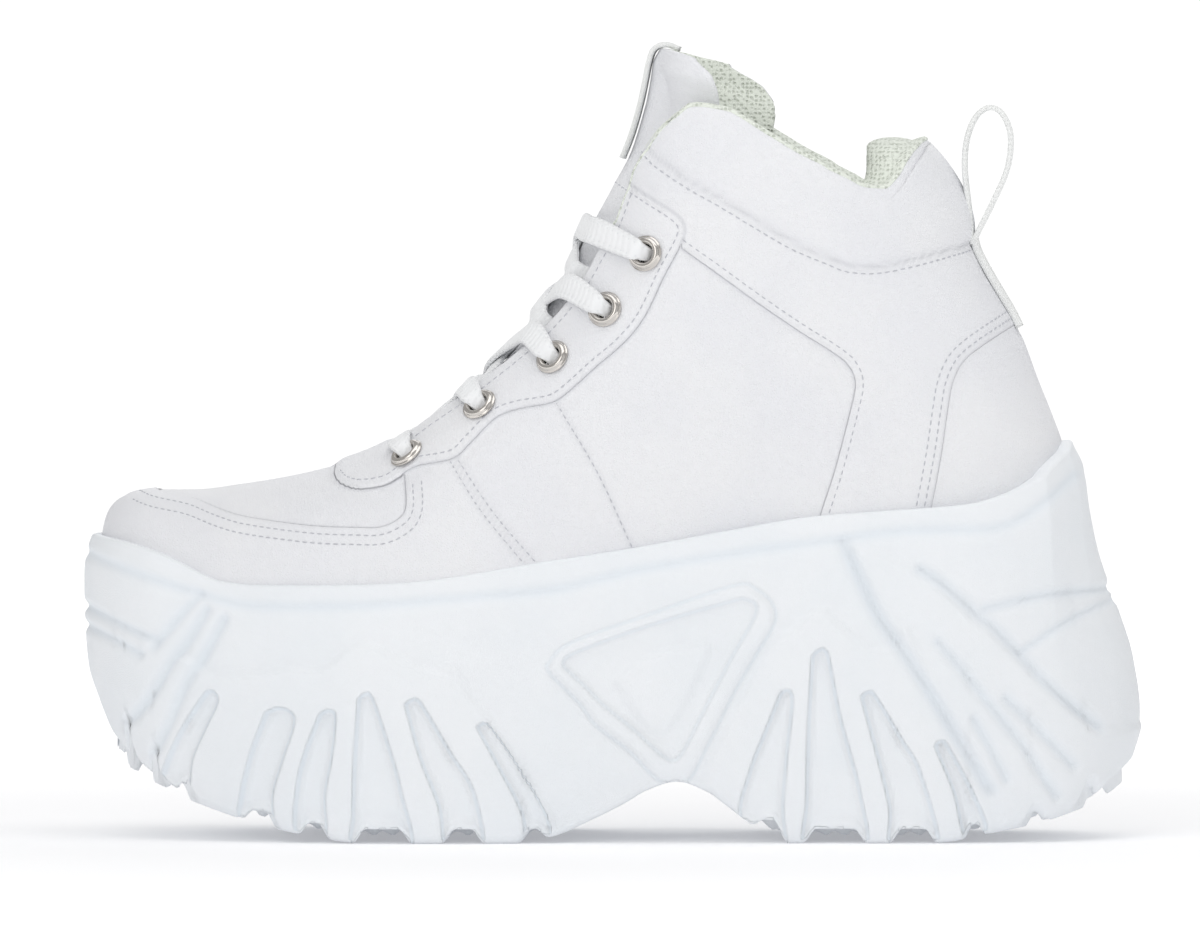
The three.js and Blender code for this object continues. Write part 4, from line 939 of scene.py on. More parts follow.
# %% Pattern of the sole wall
# Slots of the forefoot fan and the heel fan: the front line and the back line of each, from its top down.
SLOTS = [
    ([(-106, 39), (-112, 30), (-117, 20), (-120, 10)],
     [(-102.5, 37.5), (-106, 30), (-109.5, 22), (-112, 10)]),
    ([(-89, 34.5), (-93, 24), (-96, 12), (-97, 2)],
     [(-81.5, 33), (-84.5, 23), (-87.5, 13), (-88, 2)]),
    ([(-74.5, 34), (-78.3, 24), (-80.5, 15), (-81, 2)],
     [(-70.5, 34), (-71.5, 23), (-73.3, 13), (-73.5, 2)]),
    ([(-64, 38.5), (-65, 23), (-65.5, 7.5), (-65.5, -2)],
     [(-60.5, 38.5), (-56.5, 27), (-53, 14.5), (-50.5, -2)]),
    ([(-51.5, 37), (-47.5, 23), (-42.5, 10), (-40.5, -2)],
     [(-47.5, 37), (-40, 24.5), (-33.5, 13.5), (-31.5, -2)]),
    ([(-32.5, 31), (-27, 21), (-20.5, 8), (-19.5, -2)],
     [(-28, 31), (-22.5, 23), (-16, 12), (-13, 0)]),
    ([(47.5, 39.5), (43.5, 29.5), (39.5, 19), (37, 6)],
     [(50.5, 38), (49, 23.5), (48, 9.5), (48, -2)]),
    ([(56, 50), (55, 32), (54.5, 11.5), (54.3, -2)],
     [(59.8, 50), (63, 34), (68.5, 13), (69.5, -2)]),
    ([(69, 39), (73.5, 22.5), (76.5, 9.5), (77, -2)],
     [(72.5, 39), (79.5, 27.5), (84.5, 18.5), (89, -2)]),
    ([(88.5, 26), (93.5, 14), (96.5, 2)],
     [(91.5, 26), (98, 14), (102, 3)])]
FORE_HILL = [(-104, 45), (-93, 45.5), (-83, 47), (-76, 46.5), (-71.5, 48.5), (-68, 51.5), (-61, 53.5),
             (-55, 50.5), (-46, 46.5), (-38.5, 47), (-33.5, 39), (-29, 33), (-23, 25), (-15, 12),
             (-12, 2)]
HEEL_HILL = [(27, 20), (35.5, 37), (40, 46), (44.5, 53.5), (51, 57.5), (57.5, 63), (64, 58), (70, 52.5),
             (77.5, 52.5)]
TRIANGLE = [(-14.5, 47), (-8.5, 53), (12, 60.5), (35.5, 68.5), (41, 67.3), (45, 64), (46, 59), (41, 50),
            (35.5, 40.5), (29, 27.5), (22.5, 16), (15.5, 16.5), (7.5, 24.5), (-1.5, 31.5), (-5.5, 37),
            (-13, 44.5)]
WELL = [(-9.5, 46.5), (-8.5, 49.8), (11, 57.2), (34.5, 64.2), (38.5, 64.6), (41, 61.5), (34, 48.5),
        (26.5, 34), (21, 23.5), (17.5, 22.5), (9, 30), (1, 36.5), (-4, 41.5)]
INNER_TRIANGLE = [(3, 43), (16, 28.5), (28.5, 50.5), (24, 53), (11, 49.2)]
# Grooves: a line, its depth and its half width.
GROOVES = [
    ([(-146, 76.5), (-140, 75.5), (-132, 73), (-122.5, 70), (-108.5, 65.8), (-93.5, 62.8), (-63, 63),
      (-37.5, 65), (-13.5, 67), (-2.5, 69.5), (13.5, 73), (37, 77), (58.5, 80), (77, 82.5), (88, 83),
      (105, 83.7), (115, 88.5), (125, 97)], 0.95, 1.5),
    ([(-146, 62), (-140, 61), (-132, 58), (-120.5, 53.5)], 1.3, 1.3),
    ([(-146, 57), (-139.5, 55.8), (-132, 53.2), (-124, 49.5)], 1.1, 1.2),
    ([(-108.5, 65.5), (-114, 59.5), (-120.5, 51.5)], 1.2, 1.3),
    ([(-106.5, 61.5), (-111, 54), (-116, 47), (-120.5, 39.5), (-125, 34), (-128.5, 31)], 1.6, 1.5),
    ([(-101.5, 59), (-106.5, 50), (-112, 40.5), (-116.5, 30.5), (-120.5, 23)], 1.6, 1.5),
    ([(64, 79.5), (69.5, 68), (73.5, 60), (80, 51), (87.5, 39.5), (96.5, 24.5), (103, 14.5)], 2.0, 1.7),
    ([(89, 53.5), (95.5, 46), (103, 36.5), (112, 25), (120, 12.5)], 1.3, 1.3),
    ([(98.5, 33), (103, 25), (107, 17)], 1.2, 1.2),
    ([(107, 38.5), (116, 29.5), (124.5, 20.5)], 1.3, 1.3),
    ([(84.5, 72.5), (90.5, 68.5), (99.5, 60.5), (104, 57), (111, 49.5),
      (118.5, 41.5), (131.5, 30.5)], 1.5, 1.5),
    ([(146, 67.5), (133.5, 66.5), (117, 65.5), (101.5, 62)], 1.3, 1.4),
    ([(150, 68), (133.5, 63), (122.5, 58), (111, 50.5)], 0.9, 1.1)]
HEEL_BAND = [(64, 79.5), (73.5, 60), (87.5, 39.5), (103, 14.5), (112, -5), (150, -5), (150, 30),
             (131.5, 30.5), (111, 49.5), (84.5, 72.5)]
SLOT_DEPTH, HILL_RISE = 2.4, 1.3


def flat_distance(places, outline, closed=True):
    """Signed distance in the side view to an outline (positive inside), or plain distance to a line."""
    line = smooth_line(outline + outline[:1] if closed else outline, 1.5)
    away = to_line(places, line)
    return np.where(within(places[:, 0], places[:, 1], line), away, -away) if closed else away


def sole_relief(x, z):
    """Depth of the pattern at places seen from the side, how deep in a groove they lie, and its edges."""
    places = np.stack([x.ravel(), z.ravel()], -1)
    px, pz = places.T
    fore = flat_distance(places, FORE_HILL + [(-20, -20), (-130, -20), (-118, 45)])
    heel = flat_distance(places, HEEL_HILL + [(84, 52.5), (110, -20), (20, -20)])
    hill = np.maximum(smoothstep(fore, -0.4, 1.6), smoothstep(heel, -0.4, 1.6))
    band = smoothstep(px, -124, -112) * (1 - smoothstep(px, 78, 92))
    depth = -HILL_RISE * (1 - hill) * band
    frame_away = flat_distance(places, TRIANGLE)
    well = flat_distance(places, WELL)
    inner = flat_distance(places, INNER_TRIANGLE)
    depth = depth + 1.5 * smoothstep(frame_away, -0.3, 1.3) * (1 - smoothstep(well, -0.6, 0.7))
    depth = depth + 0.2 * smoothstep(well, -0.6, 0.7) + 0.9 * smoothstep(inner, -0.3, 1.1)
    slot_away = np.full(len(px), -REACH)
    for front, back in SLOTS:
        tip = ((front[0][0] + back[0][0]) / 2, front[0][1] + 1.3)
        slot_away = np.maximum(slot_away, flat_distance(places, front + back[::-1] + [tip]))
    slot = smoothstep(slot_away, -0.5, 1.2)
    side_on = smoothstep(px, -139, -123) * (1 - smoothstep(px, 131, 140))
    carved = np.maximum(side_on, smoothstep(pz, 42, 54))
    ends = smoothstep(px, -90, -100) + smoothstep(px, 84, 90)
    depth = depth - SLOT_DEPTH * slot * np.maximum(hill, ends) * side_on
    cut = np.zeros(len(px))
    for line, deep, half in GROOVES:
        across = np.exp(-(flat_distance(places, line, closed=False) / half) ** 2)
        depth = depth - deep * across * carved
        cut = np.maximum(cut, across * carved)
    depth = depth + 0.9 * smoothstep(flat_distance(places, HEEL_BAND), -0.4, 1.6)
    edges = {"slot": slot_away - 4 * (1 - hill), "frame": frame_away, "well": well}
    edges = {name: away.reshape(x.shape) for name, away in edges.items()}
    return depth.reshape(x.shape), cut.reshape(x.shape), edges


def sole_wall():
    levels = np.linspace(0, 1, SOLE_LEVELS + 1)
    x0 = rim[:, 0]
    low, high = bottom_z(x0), lip_z(x0)
    z = lerp(low[None], high[None], levels[:, None])
    level = np.clip((z - ground_z(x0)) / (high - ground_z(x0)), 0, 1)
    toe, side, heel = [set_at(level) for set_at in wall_sets]
    end_on = np.abs(outward[:, 0]) ** 1.5
    set_in = lerp(side, np.where(outward[:, 0] < 0, toe, heel), end_on)
    x = x0 + outward[:, 0] * set_in
    depth, cut, edges = sole_relief(x, z)
    soft = smoothstep(z - low, 0, 3) * 0.9 + 0.1
    depth = depth * soft - 1.4 * (1 - smoothstep(z - low, 0, 2.6)) ** 2
    out = set_in + depth
    wall = np.stack([x0 + outward[:, 0] * out, rim[:, 1] + outward[:, 1] * out, z], -1)
    return wall, cut, edges


walls, cuts, edges = sole_wall()
print("wall of the sole:", walls.shape[0], "levels by", walls.shape[1], "columns")

# %% [markdown]
# The rim of the moulding is a lip that stands up round the upper. It rolls over, runs in to the leather and
# drops beside it. Below, lugs run in from both sides to a middle tread of small teeth. Welded along their
# edges, wall, underside and floor make one closed solid.

# %% Build the sole
LIP_ROLL = 1.3  # how round the lip's outer edge is
UNDER_STEPS, FLOOR_STEPS = 40, 10
TREAD_RISE, TREAD_TEETH, TREAD_PITCH = 1.7, 0.9, 5.0


def lip_rows():
    """Rings from the lip's outer edge over its roll to the leather, and down beside it."""
    top = walls[-1]
    low, high = np.zeros(len(top)), np.full(len(top), 30.0)
    for _ in range(24):
        middle = (low + high) / 2
        x, y = top[:, 0] - outward[:, 0] * middle, top[:, 1] - outward[:, 1] * middle
        z = top[:, 2] - 1.5
        inside = (y > wall_y(LATERAL, x, z)) & (y < wall_y(MEDIAL, x, z)) & (x < heel_back_x(z))
        high, low = np.where(inside, middle, high), np.where(inside, low, middle)
    width = np.minimum(high, 14) + 0.5
    rows = []
    for turn in (25, 55, 90):
        angle = math.radians(turn)
        rows.append((LIP_ROLL * (1 - math.cos(angle)), LIP_ROLL * math.sin(angle)))
    for share, rise in ((0.45, 1.15), (0.75, 0.8), (1.0, 0.2), (1.02, -4.0)):
        rows.append((lerp(LIP_ROLL, width, share), rise))
    found = []
    for go, rise in rows:
        x, y = top[:, 0] - outward[:, 0] * go, top[:, 1] - outward[:, 1] * go
        found.append(np.stack([x, y, top[:, 2] + rise], -1))
    return np.array(found)


def across_rows(ring, steps, height):
    """Rows that run across the shoe from the lateral half of a ring to its medial half."""
    near, far = ring[:SOLE_COLUMNS], ring[SOLE_COLUMNS:][::-1]
    shares = np.linspace(0, 1, steps + 1)[:, None, None]
    rows = near[None] + (far - near)[None] * shares
    mid = rows[1:-1]
    rows[1:-1, :, 2] = height(mid[..., 0], shares[1:-1, :, 0], mid[..., 2])
    return rows


def around(values, beyond):
    """Values of the wall's rings, with the lip's rings after them and the first column again at the end."""
    rows = np.concatenate([values, np.full(lips.shape[:2], float(beyond))])
    return np.concatenate([rows, rows[:, :1]], axis=1)


def under_height(x, share, edge):
    """Underside: the channels end at a middle tread of small teeth, a little higher than the lugs."""
    teeth = TREAD_TEETH * smoothstep(np.sin(2 * math.pi * x / TREAD_PITCH), -0.5, 0.5)
    middle = ground_z(x) + TREAD_RISE + teeth
    inner = smoothstep(np.minimum(share, 1 - share), 0.10, 0.15)
    return lerp(bottom_z(x), middle, inner)


lips = lip_rows()
ring_rows = np.concatenate([walls, lips])
closed_rows = np.concatenate([ring_rows, ring_rows[:, :1]], axis=1)
under = across_rows(walls[0], UNDER_STEPS, under_height)
floor_rows = across_rows(lips[-1], FLOOR_STEPS, lambda x, share, edge: edge)
kept = {name: around(away, -REACH) for name, away in edges.items()}
parts = [with_attributes(sheet("sole_wall", closed_rows), groove=around(cuts, 0), **kept)]
for name, rows in (("sole_under", under), ("sole_floor", floor_rows)):
    plain = np.zeros(rows.shape[:2])
    parts.append(with_attributes(sheet(name, rows), groove=plain, **{edge: plain - REACH for edge in edges}))
sole = joined("moulded_sole", parts)
weld(sole, 1e-5)
close_ends(sole)
finished(sole, rubber, slot="sole_rubber", replaces=("sole",))

# %% [markdown]
# The tongue is a padded leather leaf under the laces. It is laid along the ridge of the last: each row is a
# crosswise arc, leather outside and knitted cloth inside, and the leaf is closed over its top.

# %% Places along the ridge
TONGUE = [(-70, 100.6, 15, 2.2, 3.8, 4.4), (-62, 103.8, 16, 2.4, 3.8, 4.2), (-50, 111.5, 18, 3, 3.6, 3.8),
          (-39.9, 120.4, 21, 4, 3.2, 3.6), (-27, 132.4, 24, 5, 2.6, 3.6), (-15.9, 144.5, 26, 6, 0.9, 3.7),
          (-7.5, 159.4, 26.5, 6.5, 0.4, 4.4), (-1.5, 174.1, 27.5, 6.5, 2, 7), (3, 186, 28, 6.5, 3.4, 9),
          (6, 196, 28.5, 6.5, 3.4, 9), (7.9, 203.6, 28, 6, 3, 6.5), (9, 208, 27, 5, 2.6, 4),
          (9.7, 211, 24, 3, 3.4, 4)]
CREST_WIDTH, LAST_REACH = 14, 33

ridge_path = smooth_line([row[:2] for row in TONGUE], 0.5)
ridge_share = np.linspace(0, 1, len(ridge_path))
corners = np.array([row[:2] for row in TONGUE], float)
chord = np.concatenate([[0], np.cumsum(np.linalg.norm(np.diff(corners, axis=0), axis=1))])
tongue_rows = [(s, *row[2:]) for s, row in zip(chord / chord[-1], TONGUE)]
tongue_tracks = [track(tongue_rows, column) for column in (1, 2, 3, 4)]
tongue_half, tongue_padding, tongue_middle, tongue_sides = tongue_tracks


def ridge_frame(share):
    """Place on the ridge, as (x, z), at a share of its length, and the direction it runs in."""
    share = np.asarray(share, float)

    def place(share):
        return np.stack([np.interp(share, ridge_share, ridge_path[:, k]) for k in (0, 1)], -1)

    ahead, behind = place(np.minimum(share + 0.01, 1)), place(np.maximum(share - 0.01, 0))
    return place(share), unit(ahead - behind)


def last_place(share, y):
    """Point and outward direction on the closed last at sideways place y, in the plane across the ridge."""
    share, y = np.broadcast_arrays(np.asarray(share, float), np.asarray(y, float))
    at, along = ridge_frame(share)
    inward_x, inward_z = along[..., 1], -along[..., 0]
    low, high = np.zeros(share.shape), np.full(share.shape, float(LAST_REACH))
    for _ in range(30):
        middle = (low + high) / 2
        x, z = at[..., 0] + inward_x * middle, at[..., 1] + inward_z * middle
        width = np.where(y < 0, np.abs(wall_y(LATERAL, x, z)), np.abs(wall_y(MEDIAL, x, z)))
        low, high = np.where(width < np.abs(y), middle, low), np.where(width < np.abs(y), high, middle)
    x, z = at[..., 0] + inward_x * low, at[..., 1] + inward_z * low
    normal = np.where((y < 0)[..., None], wall_normal(LATERAL, x, z), wall_normal(MEDIAL, x, z))
    up = np.stack([-inward_x, np.zeros_like(x), -inward_z], -1)
    out = unit(lerp(up, normal, smoothstep(np.abs(y), 0, CREST_WIDTH)[..., None]))
    return np.stack([x, y, z], -1), out


print("ridge", round(float(chord[-1])), "mm long")

# %% Build the tongue
TONGUE_ROWS, TONGUE_ACROSS, TONGUE_EDGE = 150, 56, 1.8


def tongue_rings():
    share = np.linspace(0, 1, TONGUE_ROWS)[:, None]
    across = np.linspace(-1, 1, TONGUE_ACROSS + 1)[None]
    y = tongue_half(share) * np.sin(across * math.pi / 2)
    point, out = last_place(share, y)
    deep = lerp(tongue_middle(share), tongue_sides(share), smoothstep(np.abs(y), 3, 11))
    face = point - out * deep[..., None]
    thick = lerp(tongue_padding(share), TONGUE_EDGE, np.abs(across) ** 3)
    at, along = ridge_frame(share[:, 0])
    slant = np.abs(across) * 0.5
    flat = thick * np.sqrt(1 - slant ** 2)
    sideways = -np.sign(across) * thick * slant
    back = np.stack([along[:, 1, None] * flat, sideways, -along[:, 0, None] * flat], -1)
    inner = face + back
    middle = (face + inner) / 2
    turns = np.radians([45, 90, 135])
    sides = []
    for end, sign in ((-1, 1), (0, -1)):
        out_way = unit(face[:, end] - face[:, end - sign])[:, None]
        half = (face[:, end] - inner[:, end])[:, None] / 2
        arc = middle[:, end][:, None] + half * np.cos(turns)[None, :, None]
        arc = arc + out_way * np.linalg.norm(half, axis=-1, keepdims=True) * np.sin(turns)[None, :, None]
        sides.append(arc)
    ring = np.concatenate([face, sides[0], inner[:, ::-1], sides[1][:, ::-1], face[:, :1]], axis=1)
    middles = np.concatenate([middle, np.repeat(middle[:, -1:], 3, 1), middle[:, ::-1],
                              np.repeat(middle[:, :1], 3, 1), middle[:, :1]], axis=1)
    top_along = np.array([along[-1, 0], 0, along[-1, 1]])
    caps = []
    for turn in np.radians([30, 60, 90]):
        half = ring[-1] - middles[-1]
        lift = np.linalg.norm(half, axis=-1, keepdims=True) * math.sin(turn) * 0.7
        caps.append(middles[-1] + half * math.cos(turn) + top_along * lift)
    return np.concatenate([ring, np.array(caps)])


rings = tongue_rings()
plain = np.zeros(rings.shape[:2])
tongue = with_attributes(sheet("padded_tongue", rings), **{panel: plain + REACH for panel in PANELS})
columns = rings.shape[1] - 1
order = np.arange(len(tongue.data.polygons))
row, column = order // columns, order % columns
folded = smoothstep(row / TONGUE_ROWS, 0.6, 0.9)  # how far up the leather folds round the edge
wrap = 2 + np.round(13 * folded).astype(int)
knit = (column >= TONGUE_ACROSS + 4) & (column < columns - wrap)
tongue.data.polygons.foreach_set("material_index", knit.astype(np.int32))
weld(tongue, 1e-5)
close_ends(tongue)
stored = np.zeros(len(tongue.data.polygons), np.int32)
tongue.data.polygons.foreach_get("material_index", stored)
finished(tongue, leather, lining_cloth, slot="tongue_leather", replaces=("tongue",))
tongue.data.polygons.foreach_set("material_index", stored)

# %% [markdown]
# Laces, tapes and loops are all flat bands: a rounded section swept along a path, which a piece of braid
# does by itself. Each place on the path has its own outward direction, width and thickness, so a band can
# turn, bunch up and dive into an eyelet.

# %% Bands
SECTION_POINTS = 16


def band(name, path, out, width, thickness, square=0.35):
    """A band along a path, flat side towards out."""
    count = len(path)
    along = unit(np.gradient(path, axis=0))
    out = unit(out - along * np.sum(out * along, axis=1, keepdims=True))
    wide = np.cross(along, out)
    angle = np.linspace(0, 2 * math.pi, SECTION_POINTS + 1)
    a = np.sign(np.cos(angle)) * np.abs(np.cos(angle)) ** square
    b = np.sign(np.sin(angle)) * np.abs(np.sin(angle)) ** 0.8
    width, thickness = np.broadcast_to(width, count), np.broadcast_to(thickness, count)
    points = path[:, None] + wide[:, None] * (a[None] * width[:, None] / 2)[..., None]
    points = points + out[:, None] * (b[None] * thickness[:, None] / 2)[..., None]
    piece = sheet(name, points)
    weld(piece, 1e-6)
    return close_ends(piece)


def even_path(points, values, spacing):
    """A smooth path through points, with the values that belong to them carried along it."""
    points, values = np.asarray(points, float), np.asarray(values, float)
    both = smooth_line(np.hstack([points, values * 1e-3]), spacing)
    return both[:, :3], both[:, 3:] * 1e3


# %% [markdown]
# The lace lies over each facing and dives into the eyelets from outside, as it was threaded from under
# the other facing one pair lower. Where two strands cross, one rides over the other.

# %% Eyelet places
def eyelet_spot(side, i):
    x, z = (np.array([float(v)]) for v in EYELETS[i])
    return on_wall(side, x, z)[0], wall_normal(side, x, z)[0]


def eyelet_share(i):
    shares = np.linspace(0, 1, 800)
    at, along = ridge_frame(shares)
    off = np.abs(np.sum((np.array(EYELETS[i]) - at) * along, axis=1))
    return float(shares[np.argmin(off)])


LACE_WIDTH, LACE_THICK, LACE_LIFT, FACING_RISE = 7.4, 1.5, 1.3, 1.4
STRAND_STOPS = [(1, 0.66), (0.7, 0.42), (0, 0), (-0.6, -0.3), (-1, -0.5)]  # share of the climb, and of y
UNDER_FACING = 0.72  # a strand ends at this share of the eyelet's distance from the middle
BAR_STOPS = (0.66, 0.35, 0, -0.35, -0.66)
shares = [eyelet_share(i) for i in range(len(EYELETS))]


def lace_point(share, y, extra=0.0):
    """A place for the lace on the tongue or the facing, with its outward direction."""
    point, out = last_place(share, y)
    sunk = float(tongue_middle(share)) * (1 - float(smoothstep(abs(y), 6, 14)))
    over = FACING_RISE * float(smoothstep(abs(y), 10, 16))
    return point + out * (LACE_LIFT - sunk + over + extra), out


def into_eyelet(side, i):
    """The lace's last places: over the flange and down through the eyelet."""
    spot, normal = eyelet_spot(side, i)
    beside, _ = lace_point(shares[i], spot[1] * UNDER_FACING)
    towards = beside - spot
    towards = unit(towards - normal * (towards @ normal))
    return [(spot + towards * 3.6 + normal * 3.3, normal, 6.2, 1.7),
            (spot + towards * 1.2 + normal * 2.5, unit(normal - towards), 4.6, 2.3),
            (spot - towards * 0.2 + normal * 0.2, -towards, 4.0, 2.5),
            (spot - towards * 0.4 - normal * 3.2, -towards, 4.0, 2.4)]


def through(name, stops):
    """A band through stops of place, outward direction, width and thickness."""
    path, rest = even_path([stop[0] for stop in stops], [(*stop[1], *stop[2:]) for stop in stops], 0.8)
    return band(name, path, rest[:, :3], rest[:, 3], rest[:, 4])


def strand(name, side, i, far_share, crest_share, over):
    """One strand from eyelet i on a side, across the tongue, to under the other facing."""
    spot, _ = eyelet_spot(side, i)
    stops = into_eyelet(side, i)[::-1]
    for climb, y_share in STRAND_STOPS:
        share = lerp(crest_share, shares[i] if climb >= 0 else far_share, abs(climb))
        y = spot[1] * y_share
        dip = 2.2 * (-climb - 0.4) if climb < -0.5 else 0
        point, out = lace_point(share, y, over * (1 - float(smoothstep(abs(y), 3, 13))) - dip)
        stops.append((point, out, LACE_WIDTH, LACE_THICK))
    under, out = last_place(far_share, -spot[1] * UNDER_FACING)
    stops.append((under - out * 3.4, out, LACE_WIDTH, LACE_THICK))
    return through(name, stops)


strands = []
for i in range(1, len(EYELETS)):
    top = i == len(EYELETS) - 1
    for side in SIDES:
        crest = lerp(shares[i - 1], shares[i], 0.93 if top and side == LATERAL else 0.5)
        over = 1.3 if side == (LATERAL if i % 2 == 0 else MEDIAL) else -0.1
        far = lerp(shares[i - 1], shares[i], 0.2)
        strands.append(strand("strand", side, i, far, crest, over))
bar_stops = into_eyelet(LATERAL, 0)[::-1]
for y_share in BAR_STOPS:
    spot, _ = eyelet_spot(LATERAL if y_share > 0 else MEDIAL, 0)
    point, out = lace_point(shares[0], spot[1] * abs(y_share))
    bar_stops.append((point, out, LACE_WIDTH, LACE_THICK))
bar_stops += into_eyelet(MEDIAL, 0)
strands.append(through("bar", bar_stops))
lace = joined("lace", strands)
finished(lace, lace_braid, slot="lace_braid",
         replaces=("lace_bar", "lace_crossing_1", "lace_crossing_2", "lace_crossing_3", "lace_crossing_4"))

# %% [markdown]
# An eyelet is a nickel tube with its outer end rolled into a round flange. One profile, turned about the
# tube's axis, gives the whole eyelet. It is made once, and each copy is turned to its place on the
# facing.

# %% Eyelets
EYELET_PROFILE = [(2.9, -3.2), (2.5, -3.2), (2.5, 0.9), (2.62, 1.5), (2.95, 1.95), (3.4, 2.1),
                  (3.9, 1.95), (4.25, 1.6), (4.45, 1.2), (4.75, 1.05), (4.85, 0.85), (4.75, 0.6),
                  (4.2, 0.5), (2.9, 0.5), (2.9, -3.2)]
EYELET_RISE = 0.9  # how far the flange is set out over the last


def turned(name, profile, steps=40):
    outline = smooth_line(profile[2:12], 0.25)
    outline = np.vstack([profile[:2], outline, profile[12:]])
    angle = np.linspace(0, 2 * math.pi, steps + 1)[:, None]
    x, y = outline[:, 0] * np.cos(angle), outline[:, 0] * np.sin(angle)
    points = np.stack([x, y, np.broadcast_to(outline[:, 1], x.shape)], -1)
    return weld(sheet(name, points), 1e-6)


def placed_copy(piece, name, spot, normal):
    deselect()
    copy = piece.copy()
    copy.data = piece.data.copy()
    bpy.context.scene.collection.objects.link(copy)
    copy.name = copy.data.name = name
    turn = Vector((0, 0, 1)).rotation_difference(Vector(normal)).to_matrix().to_4x4()
    copy.data.transform(Matrix.Translation(Vector(spot) * MM) @ turn)
    return copy


eyelet = turned("eyelet", EYELET_PROFILE)
for side, word in zip(SIDES, ("lateral", "medial")):
    for i in range(len(EYELETS)):
        spot, normal = eyelet_spot(side, i)
        name = f"eyelet_{word}_{i + 1}"
        copy = placed_copy(eyelet, f"rolled_{name}", spot + normal * EYELET_RISE, normal)
        finished(copy, nickel, slot="eyelet_metal", replaces=(name,))
bpy.data.objects.remove(eyelet)

# %% [markdown]
# A woven tape runs up the back of the heel and stands as a pull loop above it, and a second tape lies on
# the upper front of the tongue and folds over its top. Both are bands with a fine rib.

# %% Pull tapes
TAPE_WIDTH, TAPE_THICK = 12, 1.5
HEEL_STRAP = [(109.7, 136.4), (107.4, 141), (102.3, 149.6), (98.5, 156.7), (97.4, 161)]
HEEL_LOOP = [(97, 158.6), (96.1, 168), (95, 178), (95.4, 186), (97.8, 192.4), (101.4, 195.1), (105, 193.4),
             (107.2, 187.6), (106.4, 179), (102.6, 170), (98.4, 161.6), (97.6, 159.4)]
TONGUE_STRAP = [(3.3, 181.6), (5.8, 188), (8.1, 196), (9.6, 203), (10.4, 207), (11.8, 210.7), (14.9, 212),
                (18.6, 210.7)]


def tape(name, rows, width=TAPE_WIDTH, thickness=TAPE_THICK):
    flat = smooth_line(rows, 0.8)
    path = np.stack([flat[:, 0], np.zeros(len(flat)), flat[:, 1]], -1)
    along = unit(np.gradient(path, axis=0))
    out = np.stack([-along[:, 2], along[:, 1] * 0, along[:, 0]], -1)
    return band(name, path, out, width, thickness, square=0.15)


pull = joined("heel_pull", [tape("strap", HEEL_STRAP, thickness=2.2), tape("loop", HEEL_LOOP)])
finished(pull, tape_weave, slot="tape", replaces=("heel_pull_loop",))
front_tape = tape("tongue_tape", TONGUE_STRAP)
finished(front_tape, tape_weave, slot="tape", replaces=("tongue_pull_tape",))

# %% [markdown]
# Stitches are what make the panels read as sewn. One stitch is a short, rounded length of thread whose
# ends dip into the leather. It is made once, and its corners are copied along every row at an even pitch,
# because a row of separate operators would add nothing to so small a shape.

# %% Rows of stitches
STITCH_PITCH, STITCH_LENGTH, STITCH_WIDE = 2.15, 1.45, 0.42


def shifted(line, distance):
    """A drawn line moved sideways, to its left as it runs."""
    dense = smooth_line(line, 1.0)
    along = unit(np.gradient(dense, axis=0))
    moved = dense + np.stack([-along[:, 1], along[:, 0]], -1) * distance
    return [tuple(place) for place in moved]


throat = [tuple(upper_point(LATERAL, i, 1.0)[[0, 2]]) for i in np.linspace(14.0, 23.2, 24)]
BESIDE = [(FACING[2:], 1.9), (throat, -2.2), (TOE_SEAM[1:-1], -2.1), (TOE_SEAM[1:-1], -4.6),
          (QUARTER[:-1], 2.0), (COUNTER[:-1], -1.9), (COUNTER[:-1], -4.0), (COLLAR[1:-1], -2.0)]
ROWS = [shifted(line, away) for line, away in BESIDE] + [line[:3] for line in PLAIN_SEAMS]

deselect()
bpy.ops.mesh.primitive_uv_sphere_add(segments=6, ring_count=5, radius=0.5)
seed = bpy.context.active_object
seed_points = np.array([vertex.co[:] for vertex in seed.data.vertices])
seed_points = seed_points * (STITCH_WIDE, STITCH_WIDE * 0.9, STITCH_LENGTH)
seed_faces = [list(face.vertices) for face in seed.data.polygons]
bpy.data.objects.remove(seed)


def stitched(side):
    places, ways, ups = [], [], []
    for line in ROWS:
        x, z = smooth_line(line, 0.6).T
        z = np.minimum(z, ridge_z(x) - 0.3)
        path = on_wall(side, x, z)
        steps = np.concatenate([[0], np.cumsum(np.linalg.norm(np.diff(path, axis=0), axis=1))])
        at = np.arange(STITCH_PITCH / 2, steps[-1], STITCH_PITCH)
        spot = np.stack([np.interp(at, steps, column) for column in path.T], -1)
        spot[:, 1] = wall_y(side, spot[:, 0], spot[:, 2])
        normal = wall_normal(side, spot[:, 0], spot[:, 2], 0.25)
        rise = leather_rise(spot, seam_distances(side, spot))
        places.append(spot + normal * (rise + 0.04)[:, None])
        runs = np.gradient(path, axis=0).T
        ways.append(unit(np.stack([np.interp(at, steps, column) for column in runs], -1)))
        ups.append(normal)
    spot, way, up = np.vstack(places), np.vstack(ways), np.vstack(ups)
    way = unit(way - up * np.sum(way * up, axis=1, keepdims=True))
    wide = np.cross(way, up)
    points = spot[:, None] + seed_points[:, :1] * wide[:, None] + seed_points[:, 1:2] * up[:, None]
    points = points + seed_points[:, 2:] * way[:, None]
    count = len(seed_points)
    faces = [[corner + n * count for corner in face] for n in range(len(spot)) for face in seed_faces]
    mesh = bpy.data.meshes.new("stitches")
    mesh.from_pydata((points.reshape(-1, 3) * MM).tolist(), [], faces)
    piece = bpy.data.objects.new("stitches", mesh)
    bpy.context.scene.collection.objects.link(piece)
    return piece


for side, word in zip(SIDES, ("lateral", "medial")):
    piece = stitched(side)
    piece.name = piece.data.name = f"stitching_{word}"
    finished(piece, thread, slot="upper_leather")

